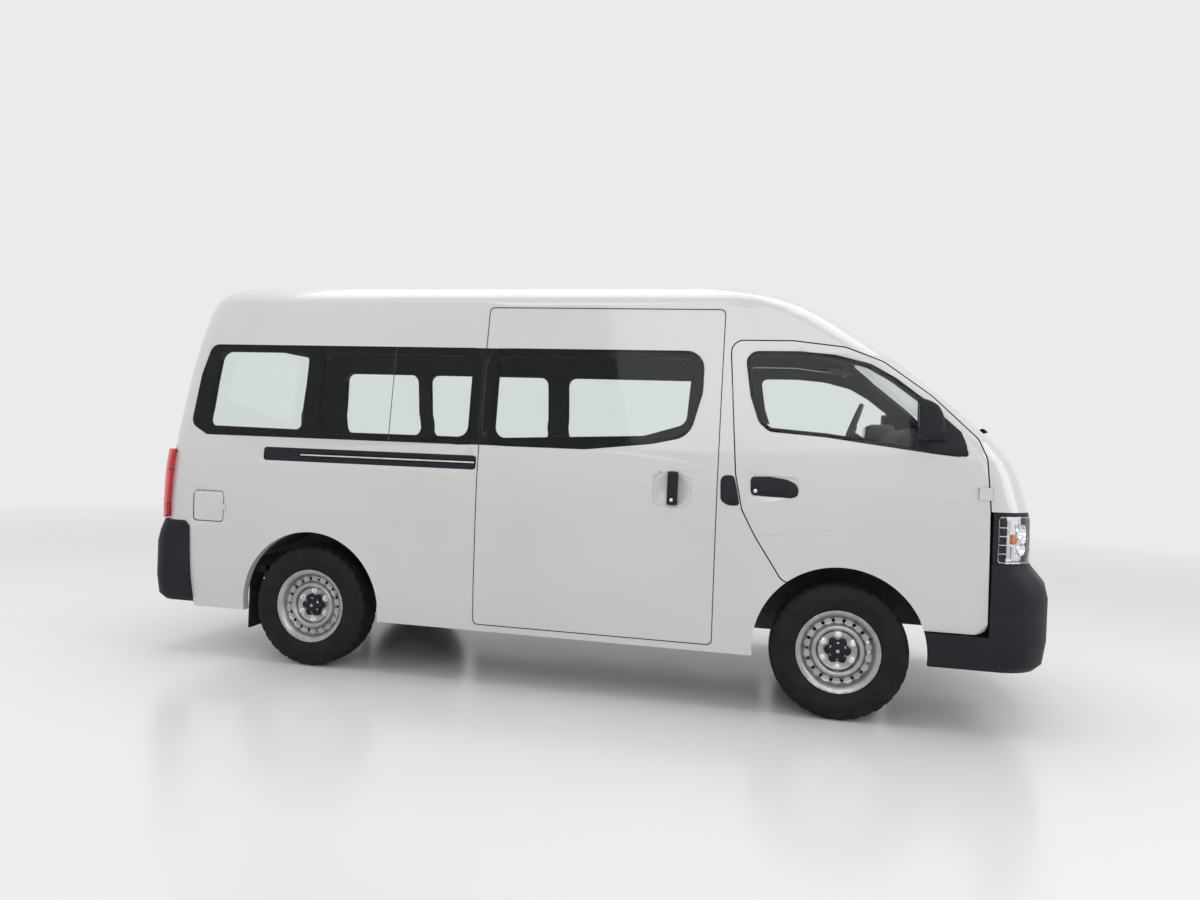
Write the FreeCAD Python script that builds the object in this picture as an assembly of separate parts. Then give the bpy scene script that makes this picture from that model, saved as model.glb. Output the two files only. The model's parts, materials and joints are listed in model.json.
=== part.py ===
import FreeCAD, Part
import math
import os

os.makedirs("parts", exist_ok=True)
V = FreeCAD.Vector

# Overall sizes of the minibus, in millimetres
wheelbase = 2940.0
front_overhang = 1080.0
rear_overhang = 1060.0
body_width = 1695.0
height = 2285.0
nose_reach = 985.0
tail_reach = 985.0
ground_clearance = 290.0

# Walls, panes and gaps
wall = 50.0
pane = 6.0
seat_gap = 0.3
door_gap = 6.5
panel_gap = 2.0
overrun = 60.0

# Wheels, tyres and axles
track = 1470.0
tyre_radius = 345.0
tyre_width = 198.0
rim_radius = 208.0
rim_width = 165.0
rim_sheet = 6.0
spindle_radius = 24.0
hub_radius = 42.0
bore_gap = 0.8
vent_count = 18
vent_radius = 9.0
arch_radius = 428.0
steer_room = 412.0

# Floor, frame and drive line
floor_height = 650.0
floor_plate = 40.0
platform_height = 830.0
footwell_height = 600.0
rail_width = 70.0
rail_depth = 120.0
rail_spacing = 760.0
eye_radius = 18.0
eye_depth = 60.0

# Positions along the body
front_axle_x = (wheelbase + front_overhang + rear_overhang) / 2.0 - front_overhang
rear_axle_x = front_axle_x - wheelbase
front_x = front_axle_x + front_overhang
rear_x = rear_axle_x - rear_overhang
half_width = body_width / 2.0

# Body levels: height, half width, nose, nose depth, tail, tail corner, slant and roof drop as shares
body_level_shares = [
    (0.127, 0.970, 0.995, 0.279, 0.990, 0.130, 1.0, 0.0),
    (0.241, 0.991, 1.000, 0.284, 1.000, 0.130, 1.0, 0.0),
    (0.394, 1.000, 1.000, 0.291, 1.000, 0.130, 1.0, 0.0),
    (0.460, 1.000, 0.995, 0.294, 0.995, 0.130, 1.0, 0.0),
    (0.499, 0.999, 0.970, 0.294, 0.987, 0.130, 1.0, 0.0),
    (0.547, 0.989, 0.934, 0.279, 0.975, 0.130, 1.1, 0.0),
    (0.582, 0.981, 0.895, 0.264, 0.964, 0.130, 1.2, 0.0),
    (0.621, 0.970, 0.820, 0.249, 0.955, 0.135, 1.5, 0.0),
    (0.718, 0.939, 0.558, 0.239, 0.925, 0.140, 1.6, 0.0),
    (0.810, 0.903, 0.289, 0.262, 0.888, 0.145, 1.6, 0.0),
    (0.895, 0.865, 0.000, 0.305, 0.843, 0.160, 1.5, 0.0),
    (0.924, 0.850, -0.110, 0.335, 0.820, 0.180, 1.3, 0.5),
    (0.945, 0.823, -0.203, 0.376, 0.794, 0.220, 1.1, 1.0),
    (0.963, 0.755, -0.330, 0.416, 0.741, 0.300, 1.0, 1.0),
    (0.978, 0.590, -0.482, 0.437, 0.660, 0.400, 1.0, 1.0),
    (0.990, 0.407, -0.650, 0.340, 0.548, 0.550, 1.0, 1.0),
    (1.000, 0.180, -0.900, 0.080, 0.325, 0.500, 1.0, 1.0),
]
nose_arc_angle = math.radians(15.0)


# Places measured as shares of the wheelbase, forwards from the front axle, and of the height
def side_x(share):
    return front_axle_x + share * wheelbase


def side_points(shares):
    return [(side_x(x), z * height) for x, z in shares]


def cross_points(shares):
    return [(y * half_width, z * height) for y, z in shares]


def on_side(u, v):
    return V(u, 0, v)


def on_front(u, v):
    return V(0, u, v)


# One closed plan section of the body: nose in three arcs, straight sides, rounded tail corners
def plan_wire(z, half, nose, depth, tail, corner):
    side = nose - depth
    lean = math.tan(nose_arc_angle / 2)
    sine, cosine = math.sin(nose_arc_angle), math.cos(nose_arc_angle)
    small = (depth - half * lean) / (cosine - lean * (1 - sine))
    large = (half - small * (1 - sine)) / sine
    join_x = nose - large + large * cosine
    join_y = large * sine
    middle = (nose_arc_angle + math.pi / 2) / 2
    swing_x = side + small * math.cos(middle)
    swing_y = half - small + small * math.sin(middle)
    chord = corner * (1 - math.sqrt(0.5))

    def at(x, y):
        return V(x, y, z)

    def arc(a, b, c):
        return Part.Arc(a, b, c).toShape()

    return Part.Wire([
        arc(at(join_x, -join_y), at(nose, 0), at(join_x, join_y)),
        arc(at(join_x, join_y), at(swing_x, swing_y), at(side, half)),
        Part.makeLine(at(side, half), at(tail + corner, half)),
        arc(at(tail + corner, half), at(tail + chord, half - chord), at(tail, half - corner)),
        Part.makeLine(at(tail, half - corner), at(tail, corner - half)),
        arc(at(tail, corner - half), at(tail + chord, chord - half), at(tail + corner, -half)),
        Part.makeLine(at(tail + corner, -half), at(side, -half)),
        arc(at(side, -half), at(swing_x, -swing_y), at(join_x, -join_y)),
    ])


# The closed outer form of the body, drawn inwards by an inset
def hull(inset):
    wires = []
    for level, width, nose, depth, tail, corner, slant, drop in body_level_shares:
        half = width * half_width
        wires.append(plan_wire(
            level * height - inset * drop, half - inset,
            front_axle_x + nose * nose_reach - inset * slant, depth * nose_reach,
            rear_axle_x - tail * tail_reach + inset, corner * half))
    return Part.makeLoft(wires, True, True)


# A closed outline whose corners are arcs, on the side, front or plan plane
def outline(points, radius, place):
    edges = []
    ends = []
    count = len(points)
    for i in range(count):
        before = place(*points[i - 1])
        corner = place(*points[i])
        after = place(*points[(i + 1) % count])
        first, second = before - corner, after - corner
        opening = first.getAngle(second)
        room = 0.45 * min(first.Length, second.Length)
        reach = min(room, radius / math.tan(opening / 2)) if opening < 3.12 else 0
        if reach <= 0:
            ends.append((corner, corner, corner))
            continue
        first.normalize()
        second.normalize()
        bend = reach * math.tan(opening / 2)
        towards = first + second
        towards.normalize()
        middle = corner + towards * (bend / math.sin(opening / 2) - bend)
        ends.append((corner + first * reach, middle, corner + second * reach))
    for i in range(count):
        start, middle, finish = ends[i]
        if start != finish:
            edges.append(Part.Arc(start, middle, finish).toShape())
        edges.append(Part.makeLine(finish, ends[(i + 1) % count][0]))
    return Part.Wire(edges)


# A prism over an outline, grown or shrunk all round
def prism(points, radius, place, near, far, grow=0.0):
    wire = outline(points, radius, place)
    if grow:
        wire = wire.makeOffset2D(grow)
    face = Part.Face(wire)
    normal = place(0, 0) + V(*(0 if n else 1 for n in place(1, 1)))
    face.translate(normal * near)
    return face.extrude(normal * (far - near))


def block(x0, x1, y0, y1, z0, z1):
    return Part.makeBox(x1 - x0, y1 - y0, z1 - z0, V(x0, y0, z0))


def rod(radius, start, finish):
    line = finish - start
    return Part.makeCylinder(radius, line.Length, start, line)


def mirrored(shape):
    return shape.mirror(V(0, 0, 0), V(0, 1, 0))


def fused(pieces):
    return pieces[0].multiFuse(pieces[1:]).removeSplitter()


def carved(shape, cutters):
    for cutter in cutters:
        shape = shape.cut(cutter)
    return shape


def save(name, shape):
    shape.exportStep("parts/" + name + ".step")
    print(name, "solids", len(shape.Solids), "valid", shape.isValid(), "litres", round(shape.Volume / 1e6, 2))


def save_pair(name, shape, end=""):
    save(end + "left_" + name, shape)
    save(end + "right_" + name, mirrored(shape))


# Outlines on the side of the body
sliding_door_shares = [(-0.660, 0.143), (-0.215, 0.143), (-0.215, 0.908), (-0.660, 0.911)]
sliding_pane_shares = [(-0.655, 0.574), (-0.457, 0.574), (-0.337, 0.592), (-0.268, 0.612),
                       (-0.248, 0.715), (-0.248, 0.8095), (-0.655, 0.8095)]
quarter_pane_shares = [(-1.240, 0.574), (-0.664, 0.574), (-0.664, 0.8095), (-1.250, 0.8095),
                       (-1.266, 0.730), (-1.277, 0.600)]
front_door_shares = [(-0.202, 0.835), (-0.094, 0.835), (-0.007, 0.822), (0.058, 0.791), (0.137, 0.718),
                     (0.210, 0.628), (0.2235, 0.587), (0.2305, 0.474), (0.234, 0.2145), (0.100, 0.2145),
                     (-0.0986, 0.303), (-0.147, 0.398), (-0.170, 0.4535), (-0.183, 0.5325)]
door_pane_shares = [(-0.177, 0.811), (-0.084, 0.812), (-0.023, 0.805), (0.034, 0.787), (0.076, 0.757),
                    (0.1215, 0.7125), (0.183, 0.6415), (0.198, 0.588), (0.139, 0.5945), (0.038, 0.610),
                    (-0.034, 0.6215), (-0.130, 0.630), (-0.148, 0.650), (-0.164, 0.7085)]
fuel_flap_shares = [(-1.2595, 0.352), (-1.194, 0.352), (-1.194, 0.427), (-1.2595, 0.427)]
rail_shares = [(-1.108, 0.514), (-0.6635, 0.514), (-0.6635, 0.548), (-1.108, 0.548)]
tail_lamp_shares = [(-1.400, 0.353), (-1.3205, 0.353), (-1.3085, 0.533), (-1.400, 0.533)]
head_lamp_shares = [(0.2445, 0.368), (0.500, 0.368), (0.500, 0.466), (0.2445, 0.468)]
lamp_band_low = 0.363
lamp_band_high = 0.476
roof_seam = 0.924
front_edge_share = 0.236

# Outlines seen from the front and from behind, as shares of half the width and of the height
screen_shares = [(-0.830, 0.632), (0.830, 0.632), (0.775, 0.795), (0.715, 0.842), (-0.715, 0.842),
                 (-0.775, 0.795)]
bonnet_shares = [(-0.700, 0.479), (0.700, 0.479), (0.700, 0.610), (-0.700, 0.610)]
tailgate_shares = [(-0.755, 0.265), (0.755, 0.265), (0.755, 0.921), (-0.755, 0.921)]
tailgate_pane_shares = [(-0.660, 0.585), (0.660, 0.585), (0.640, 0.845), (-0.640, 0.845)]
lamp_inner = 0.765
head_lamp_inner = 0.560
grille_inner = 0.540


def side_prism(shares, radius, side, grow=0.0):
    return prism(side_points(shares), radius, on_side, *sorted((0, side * body_width)), grow)


def front_prism(shares, radius, grow=0.0):
    return prism(cross_points(shares), radius, on_front, front_axle_x - wheelbase / 5,
                 front_x + overrun, grow)


def rear_prism(shares, radius, grow=0.0):
    return prism(cross_points(shares), radius, on_front, rear_x - overrun,
                 rear_axle_x - arch_radius, grow)


def arch_cut(x, side, radius):
    low, high = sorted((side * (half_width - 3 * wall), side * (half_width + overrun)))
    return Part.makeCylinder(radius, high - low, V(x, low, tyre_radius), V(0, 1, 0))


# Shells of the body wall, of its outer skin that carries the glass, and of the glass
outer = hull(0)
inner = hull(wall)
room = hull(wall + seat_gap)
shell = outer.cut(inner)
glass_seat = outer.cut(hull(pane + seat_gap))
glass_skin = outer.cut(hull(pane))

front_edge_x = side_x(front_edge_share)
lower_lip_z = 0.2110 * height
bumper_top_z = 0.3645 * height
band_top_z = lamp_band_high * height
roof_seam_z = roof_seam * height
pillar_split_z = 0.800 * height


def front_bumper_zone(grow):
    low = block(front_axle_x, front_edge_x + grow, -body_width, body_width,
                ground_clearance - overrun, lower_lip_z + grow)
    high = block(front_edge_x - grow, front_x + overrun, -body_width, body_width,
                 ground_clearance - overrun, bumper_top_z + grow)
    return low.fuse(high)


rear_bumper_shares = [(-1.500, 0.100), (-1.2555, 0.100), (-1.2655, 0.200), (-1.2690, 0.335),
                      (-1.2790, 0.348), (-1.500, 0.348)]
rear_step_z = 0.262 * height


def rear_bumper_zone(grow):
    corners = prism(side_points(rear_bumper_shares), overrun / 3, on_side, -body_width, body_width, grow)
    step = block(rear_x - overrun, rear_axle_x, -lamp_inner * half_width, lamp_inner * half_width,
                 rear_step_z + grow, height)
    return corners.cut(step)


def lamp_band_zone(grow):
    return block(front_edge_x - grow, front_x + overrun, -body_width, body_width,
                 bumper_top_z - grow, band_top_z + grow)


def tail_lamp_zone(side, grow):
    low, high = sorted((side * lamp_inner * half_width, side * body_width))
    zone = prism(side_points(tail_lamp_shares), overrun / 3, on_side, low, high, grow)
    return zone


# Roof with its rear header and the forehead over the windscreen
roof_shares = [(-1.500, 0.924), (-0.211, 0.924), (-0.1965, 0.843), (0.400, 0.843), (0.400, 1.100),
               (-1.500, 1.100)]


def roof_zone(grow=0.0):
    return prism(side_points(roof_shares), 0.0, on_side, -body_width, body_width, grow)


def make_roof():
    roof = shell.common(roof_zone()).cut(front_prism(screen_shares, 4 * overrun / 3))
    return fused([roof] + [tailgate_hinge_seat(side) for side in (-1, 1)])


# A body side: quarter, pillars and sill, with its window seats and openings
aperture_shares = {
    "rear": [(-1.245, 0.592), (-1.030, 0.592), (-1.030, 0.792), (-1.230, 0.792)],
    "middle": [(-0.998, 0.592), (-0.685, 0.592), (-0.685, 0.792), (-0.998, 0.792)],
    "front": [(-0.635, 0.592), (-0.350, 0.610), (-0.275, 0.640), (-0.268, 0.792), (-0.635, 0.792)],
}


def make_side():
    back = block(rear_x - overrun, side_x(-0.197), -body_width, 0, ground_clearance - overrun, roof_seam_z)
    foot = block(side_x(-0.25), front_axle_x, -body_width, 0, ground_clearance - overrun, pillar_split_z)
    return carved(shell.common(back.fuse(foot)), [
        roof_zone(), side_prism(front_door_shares, overrun, -1, door_gap),
        rear_prism(tailgate_shares, overrun, door_gap),
        rear_bumper_zone(seat_gap), tail_lamp_zone(-1, seat_gap),
        arch_cut(front_axle_x, -1, arch_radius), arch_cut(rear_axle_x, -1, arch_radius),
        side_prism(aperture_shares["rear"], overrun, -1),
        side_prism(aperture_shares["middle"], overrun, -1),
        glass_seat.common(side_prism(quarter_pane_shares, overrun, -1))])


def make_right_side(side_wall):
    recess_zone = side_prism(fuel_flap_shares, overrun / 3, -1, door_gap)
    flap_recess = outer.cut(hull(wall / 3 + seat_gap)).common(recess_zone)
    panel = carved(side_wall, [side_prism(sliding_door_shares, overrun / 2, -1, panel_gap),
                               flap_recess, rail_zone(0.0)])
    return panel.fuse(flap_hinge_seat())


def make_left_side(side_wall):
    return mirrored(carved(side_wall, [
        side_prism(aperture_shares["front"], overrun, -1),
        glass_seat.common(side_prism(sliding_pane_shares, 2 * overrun, -1))]))


# Front frame: door headers, windscreen pillars, scuttle and wings round the bonnet
def make_front_frame():
    zone = block(side_x(-0.197), front_x, -body_width, body_width, pillar_split_z, height)
    wings = block(front_axle_x, front_x, -body_width, body_width, band_top_z, pillar_split_z)
    frame = carved(shell.common(zone.fuse(wings)), [
        roof_zone(), front_prism(bonnet_shares, overrun, door_gap),
        front_prism(screen_shares, 4 * overrun / 3),
        side_prism(front_door_shares, overrun, 1, door_gap),
        side_prism(front_door_shares, overrun, -1, door_gap)])
    return fused([frame, bonnet_hinge_seat(), door_hinge_seat(1), door_hinge_seat(-1)])


def pane_piece(zone):
    return glass_skin.common(zone)


# Hinges: the fixed pins, each on its own line, and the leaves that turn on them
door_edge_x = side_x(0.2290)
door_hinge_x = front_edge_x - door_gap / 2
door_hinge_y = half_width
door_hinge_z = 0.500 * height
door_hinge_length = 1.2 * wall
pin_radius = 5.0
tailgate_hinge_x = rear_axle_x - 0.830 * tail_reach
tailgate_hinge_z = 0.9237 * height
tailgate_hinge_y = 0.400 * half_width
bonnet_hinge_x = front_axle_x + 0.8485 * nose_reach
bonnet_hinge_z = 0.6127 * height
flap_hinge_x = side_x(-1.194) + door_gap / 2
flap_hinge_y = -half_width - pin_radius
flap_hinge_z = 0.3895 * height


def door_hinge_seat(side):
    pin = rod(pin_radius, V(door_hinge_x, side * door_hinge_y, door_hinge_z),
              V(door_hinge_x, side * door_hinge_y, door_hinge_z + door_hinge_length))
    return pin.cut(hull(wall / 4))


def door_hinge_leaf(side):
    arm_y = sorted((side * (door_hinge_y + seat_gap), side * (door_hinge_y + pin_radius)))
    root_y = sorted((side * (door_hinge_y - wall / 5), side * (door_hinge_y + pin_radius)))
    levels = (door_hinge_z, door_hinge_z + door_hinge_length)
    arm = block(door_edge_x - wall, door_hinge_x - pin_radius - seat_gap, *arm_y, *levels)
    return arm.fuse(block(door_edge_x - wall, door_edge_x - wall / 2, *root_y, *levels))


def tailgate_hinge_seat(side):
    y = side * tailgate_hinge_y
    pin = rod(pin_radius, V(tailgate_hinge_x, y - wall / 2, tailgate_hinge_z),
              V(tailgate_hinge_x, y + wall / 2, tailgate_hinge_z))
    strap = block(tailgate_hinge_x, tailgate_hinge_x + wall / 2, y - wall / 2, y + wall / 2,
                  tailgate_hinge_z + pin_radius / 4, tailgate_hinge_z + pin_radius)
    return pin.fuse(strap)


def tailgate_hinge_leaf(side):
    y = side * tailgate_hinge_y
    return block(tailgate_hinge_x, tailgate_hinge_x + wall / 2, y - wall / 2, y + wall / 2,
                 tailgate_hinge_z - pin_radius * 3, tailgate_hinge_z - pin_radius - seat_gap)


def bonnet_hinge_seat():
    pin = rod(pin_radius, V(bonnet_hinge_x, -wall, bonnet_hinge_z), V(bonnet_hinge_x, wall, bonnet_hinge_z))
    strap = block(bonnet_hinge_x - wall / 2, bonnet_hinge_x, -wall, wall,
                  bonnet_hinge_z + pin_radius / 4, bonnet_hinge_z + pin_radius)
    return pin.fuse(strap)


def bonnet_hinge_leaf():
    return block(bonnet_hinge_x - wall / 2, bonnet_hinge_x, -wall, wall,
                 bonnet_hinge_z - pin_radius * 3, bonnet_hinge_z - pin_radius - seat_gap)


def flap_hinge_seat():
    low, high = flap_hinge_z - wall / 3, flap_hinge_z + wall / 3
    pin = rod(pin_radius / 2, V(flap_hinge_x, flap_hinge_y, low), V(flap_hinge_x, flap_hinge_y, high))
    strap = block(flap_hinge_x, flap_hinge_x + wall / 3, flap_hinge_y, flap_hinge_y + 2 * pin_radius, low, high)
    return pin.fuse(strap)


def flap_hinge_leaf():
    return block(flap_hinge_x - wall / 3, flap_hinge_x - pin_radius / 2 - seat_gap, flap_hinge_y,
                 flap_hinge_y + 2 * pin_radius, flap_hinge_z - wall / 3, flap_hinge_z + wall / 3)


# Hinged and sliding doors, each as thick as the body wall
handle_shares = [(-0.1575, 0.483), (-0.076, 0.485), (-0.076, 0.530), (-0.1575, 0.531)]
slide_handle_shares = [(-0.328, 0.452), (-0.261, 0.452), (-0.261, 0.531), (-0.328, 0.531)]


def make_front_door(side):
    door = carved(shell.common(side_prism(front_door_shares, overrun, side)), [
        arch_cut(front_axle_x, side, arch_radius), side_prism(door_pane_shares, overrun, side, -overrun / 3),
        glass_seat.common(side_prism(door_pane_shares, overrun, side, seat_gap)),
        glass_seat.common(side_prism(handle_shares, overrun / 2, side, seat_gap))])
    return fused([door, door_hinge_leaf(side)])


def make_sliding_door():
    return carved(shell.common(side_prism(sliding_door_shares, overrun / 2, -1, panel_gap - seat_gap)), [
        side_prism(aperture_shares["front"], overrun, -1),
        glass_seat.common(side_prism(sliding_pane_shares, 2 * overrun, -1, seat_gap)),
        glass_seat.common(side_prism(slide_handle_shares, overrun / 2, -1, seat_gap))])


def make_tailgate():
    gate = carved(shell.common(rear_prism(tailgate_shares, overrun)), [
        rear_prism(tailgate_pane_shares, overrun, -overrun / 2),
        glass_seat.common(rear_prism(tailgate_pane_shares, overrun, seat_gap))])
    return fused([gate] + [tailgate_hinge_leaf(side) for side in (-1, 1)])


# Rail that carries the sliding door on the rear quarter
def rail_zone(shrink):
    return side_prism(rail_shares, overrun / 3, -1, -shrink).common(outer.cut(hull(wall / 2)))


def make_rail():
    rail = rail_zone(seat_gap)
    slot = [(-1.030, 0.527), (-0.6600, 0.527), (-0.6600, 0.535), (-1.030, 0.535)]
    return rail.cut(side_prism(slot, panel_gap, -1).common(outer.cut(hull(wall / 3))))


# Bumpers drawn from their own plan sections: height, half width, nose, depth and tail as shares
bumper_level_shares = [
    (0.137, 0.960, 0.955, 0.270, 0.965), (0.152, 0.990, 0.985, 0.280, 0.990),
    (0.200, 1.004, 1.000, 0.290, 1.000), (0.290, 1.006, 1.000, 0.292, 1.000),
    (0.318, 1.006, 0.985, 0.285, 0.985), (0.352, 1.004, 0.925, 0.275, 0.955)]
bumper_corner = 0.14


def bumper_form(inset):
    wires = []
    for level, width, nose, depth, tail in bumper_level_shares:
        half = width * half_width
        wires.append(plan_wire(level * height, half - inset,
                               front_axle_x + nose * front_overhang - inset, depth * front_overhang,
                               rear_axle_x - tail * rear_overhang + inset, bumper_corner * half))
    top = body_level_shares[2]
    wires.append(plan_wire(bumper_top_z, top[1] * half_width - inset,
                           front_axle_x + top[2] * nose_reach - inset, top[3] * nose_reach,
                           rear_axle_x - top[4] * tail_reach + inset, top[5] * half_width))
    return Part.makeLoft(wires, True, True)


intake_shares = [(-0.500, 0.165), (0.500, 0.165), (0.540, 0.235), (-0.540, 0.235)]
fog_shares = [(0.640, 0.180), (0.800, 0.180), (0.790, 0.285), (0.690, 0.285)]
intake_bars = 3
front_socket_z = footwell_height - floor_plate - rail_depth / 2
rear_socket_z = floor_height - floor_plate - rail_depth / 2
way_radius = 1.5 * eye_radius


# The ways through the bumpers to the towing sockets in the rail ends
def socket_way(radius, side, z, forwards):
    start = V(0, side * rail_spacing / 2, z)
    return rod(radius, start, start + V(forwards * wheelbase, 0, 0))


def make_front_bumper():
    bumper = bumper_form(0).common(front_bumper_zone(0.0)).cut(hull(wall * 0.9))
    cuts = [arch_cut(front_axle_x, side, arch_radius) for side in (-1, 1)]
    cuts.append(front_prism(intake_shares, overrun / 2))
    deep = bumper_form(0).cut(bumper_form(wall / 2))
    for side in (-1, 1):
        shares = [(side * y, z) for y, z in fog_shares]
        cuts.append(deep.common(front_prism(shares, overrun / 2)))
    bumper = carved(bumper, cuts)
    step = (intake_shares[2][1] - intake_shares[0][1]) * height / (intake_bars + 1)
    bars = []
    for i in range(intake_bars):
        z = intake_shares[0][1] * height + step * (i + 1)
        bars.append(bumper_form(wall / 3).cut(bumper_form(wall)).common(
            block(front_axle_x, front_x, -0.53 * half_width, 0.53 * half_width, z - step / 7, z + step / 7)))
    collar = bumper_form(wall / 3).cut(bumper_form(wall))
    collars = [collar.common(socket_way(2 * eye_radius, side, front_socket_z, 1)) for side in (-1, 1)]
    return carved(fused([bumper] + bars + collars),
                  [socket_way(way_radius, side, front_socket_z, 1) for side in (-1, 1)])


# Rear bumper: two corners, and a middle in bars and blocks that leave a square way to each towing socket
def make_rear_bumper():
    bumper = bumper_form(0).common(rear_bumper_zone(0.0)).cut(hull(wall * 0.9))
    reach = lamp_inner * half_width
    low, high = rear_socket_z - way_radius, rear_socket_z + way_radius
    near, far = rail_spacing / 2 - way_radius, rail_spacing / 2 + way_radius
    spans = [(-reach, reach, 0, low), (-reach, reach, high, height), (-near, near, low, high)]
    for side in (-1, 1):
        spans.append((*sorted((side * far, side * reach)), low, high))
        spans.append((*sorted((side * reach, side * body_width)), 0, height))
    return Part.makeCompound([bumper.common(block(rear_x - overrun, rear_axle_x, *span)).Solids[0]
                              for span in spans])


# Grille: the dark band between and round the headlamps, with its bars
grille_bars = 4


def make_grille():
    band = shell.common(lamp_band_zone(-seat_gap))
    lamps = [head_lamp_zone(side, seat_gap) for side in (-1, 1)]
    low, high = (lamp_band_low + 0.014) * height, (lamp_band_high - 0.012) * height
    mouth = block(front_axle_x, front_x, -grille_inner * half_width, grille_inner * half_width, low, high)
    grille = carved(band, lamps + [mouth])
    step = (high - low) / grille_bars
    bars = []
    skin = hull(wall / 5).cut(hull(wall * 0.8))
    for i in range(1, grille_bars):
        z = low + step * i
        bars.append(skin.common(block(front_axle_x, front_x, -(grille_inner + 0.01) * half_width,
                                      (grille_inner + 0.01) * half_width, z - step / 6, z + step / 6)))
    return fused([grille] + bars)


def head_lamp_zone(side, grow):
    low, high = sorted((side * head_lamp_inner * half_width, side * body_width))
    return prism(side_points(head_lamp_shares), overrun / 4, on_side, low - grow, high + grow, grow)


def make_lamps(zone, proud):
    form = hull(-proud).cut(hull(wall * 0.9))
    return Part.makeCompound([form.common(zone(side, 0.0)) for side in (-1, 1)])


# Floor of the cabin: raised platform over the front wheels, footwell, bulkhead and wheel boxes
def make_floor():
    tail = rear_axle_x - tail_reach
    rise_x = side_x(-0.205)
    drop_x = side_x(0.130)
    bulkhead_x = side_x(0.275)
    plate = floor_plate
    bulkhead_z = band_top_z + plate
    points = [(tail, floor_height - plate), (rise_x - plate, floor_height - plate),
              (rise_x, platform_height - plate), (drop_x - plate, platform_height - plate),
              (drop_x, footwell_height - plate), (bulkhead_x, footwell_height - plate),
              (bulkhead_x, bulkhead_z), (bulkhead_x - plate, bulkhead_z),
              (bulkhead_x - plate, footwell_height), (drop_x + plate, footwell_height),
              (drop_x, platform_height), (rise_x - plate, platform_height),
              (rise_x - 2 * plate, floor_height), (tail, floor_height)]
    deck = prism(points, 0.0, on_side, -half_width, half_width)
    pieces = [deck]
    cuts = []
    for x, inset in ((front_axle_x, steer_room), (rear_axle_x, tyre_width * 1.6)):
        for side in (-1, 1):
            low, high = sorted((side * (half_width - inset - wall / 4), side * half_width))
            house = Part.makeCylinder(arch_radius + wall / 4, high - low, V(x, low, tyre_radius), V(0, 1, 0))
            base = floor_height if x < 0 else footwell_height
            keep = block(x - wheelbase / 4, x + wheelbase / 4, low, high, base - plate, height / 2)
            pieces.append(house.common(keep))
            low, high = sorted((side * (half_width - inset), side * (half_width + overrun)))
            cuts.append(Part.makeCylinder(arch_radius, high - low, V(x, low, tyre_radius), V(0, 1, 0)))
    floor = carved(fused(pieces).common(room), cuts)
    doorway = hull(wall + door_gap)
    front = block(side_x(-0.21), front_x, -body_width, body_width, 0, height).cut(doorway)
    gate_edge = tailgate_shares[1][0] * half_width + door_gap
    back = block(rear_x, rear_axle_x - arch_radius, -gate_edge, gate_edge, 0, height).cut(doorway)
    return carved(floor, [front, back]).Solids[0]


# Ladder frame under the floor, with the engine block and drive line
def make_frame():
    pieces = []
    top = footwell_height - floor_plate
    back_top = floor_height - floor_plate
    tail = rear_axle_x - tail_reach + 1.4 * wall
    nose = front_axle_x + nose_reach - 2.2 * wall
    points = [(tail, back_top - rail_depth), (side_x(-0.24), back_top - rail_depth),
              (side_x(-0.19), top - rail_depth), (nose, top - rail_depth), (nose, top),
              (side_x(-0.17), top), (side_x(-0.22), back_top), (tail, back_top)]
    for side in (-1, 1):
        y = side * rail_spacing / 2
        pieces.append(prism(points, rail_depth / 2, on_side, y - rail_width / 2, y + rail_width / 2))
    for share in (-1.27, -0.80, -0.42):
        x = side_x(share)
        pieces.append(block(x, x + rail_width, -rail_spacing / 2, rail_spacing / 2,
                            back_top - rail_depth * 0.8, back_top - rail_depth * 0.2))
    for share in (0.25,):
        x = side_x(share)
        pieces.append(block(x, x + rail_width, -rail_spacing / 2, rail_spacing / 2,
                            top - rail_depth * 0.8, top - rail_depth * 0.2))
    for share in (-0.86, -0.62, -0.30):
        x = side_x(share)
        pieces.append(block(x, x + rail_width, -half_width + 1.9 * wall, half_width - 1.9 * wall,
                            back_top - rail_depth * 0.5, back_top))
    frame = fused(pieces).common(hull(wall + door_gap))
    sockets = []
    for y in (-rail_spacing / 2, rail_spacing / 2):
        sockets.append(rod(eye_radius, V(nose, y, front_socket_z), V(nose - eye_depth, y, front_socket_z)))
        sockets.append(rod(eye_radius, V(tail, y, rear_socket_z), V(tail + eye_depth, y, rear_socket_z)))
    return carved(frame, sockets)


front_rail_top = footwell_height - floor_plate
back_rail_bottom = floor_height - floor_plate - rail_depth
front_rail_bottom = front_rail_top - rail_depth


def make_engine():
    width = rail_spacing - rail_width - 3 * overrun
    body = block(side_x(-0.17), side_x(0.095), -width / 2, width / 2,
                 front_rail_bottom - rail_depth, platform_height - floor_plate - seat_gap)
    gearbox = block(side_x(-0.36), side_x(-0.165), -width / 4, width / 4,
                    front_rail_bottom - rail_depth / 2, front_rail_top - 0.15 * rail_depth)
    reach = rail_spacing / 2 - rail_width / 2 - seat_gap
    mounts = block(side_x(-0.02), side_x(0.0), -reach, reach, front_rail_bottom, front_rail_top - rail_width / 2)
    return fused([body, gearbox, mounts])


# Suspension: double arms at the front, beam with leaf springs at the rear
knuckle_y = track / 2 - tyre_width * 0.42
arm_low_z = tyre_radius - 150.0
arm_high_z = tyre_radius + 135.0
arm_radius = 13.0
knuckle_half = 17.0


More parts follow.
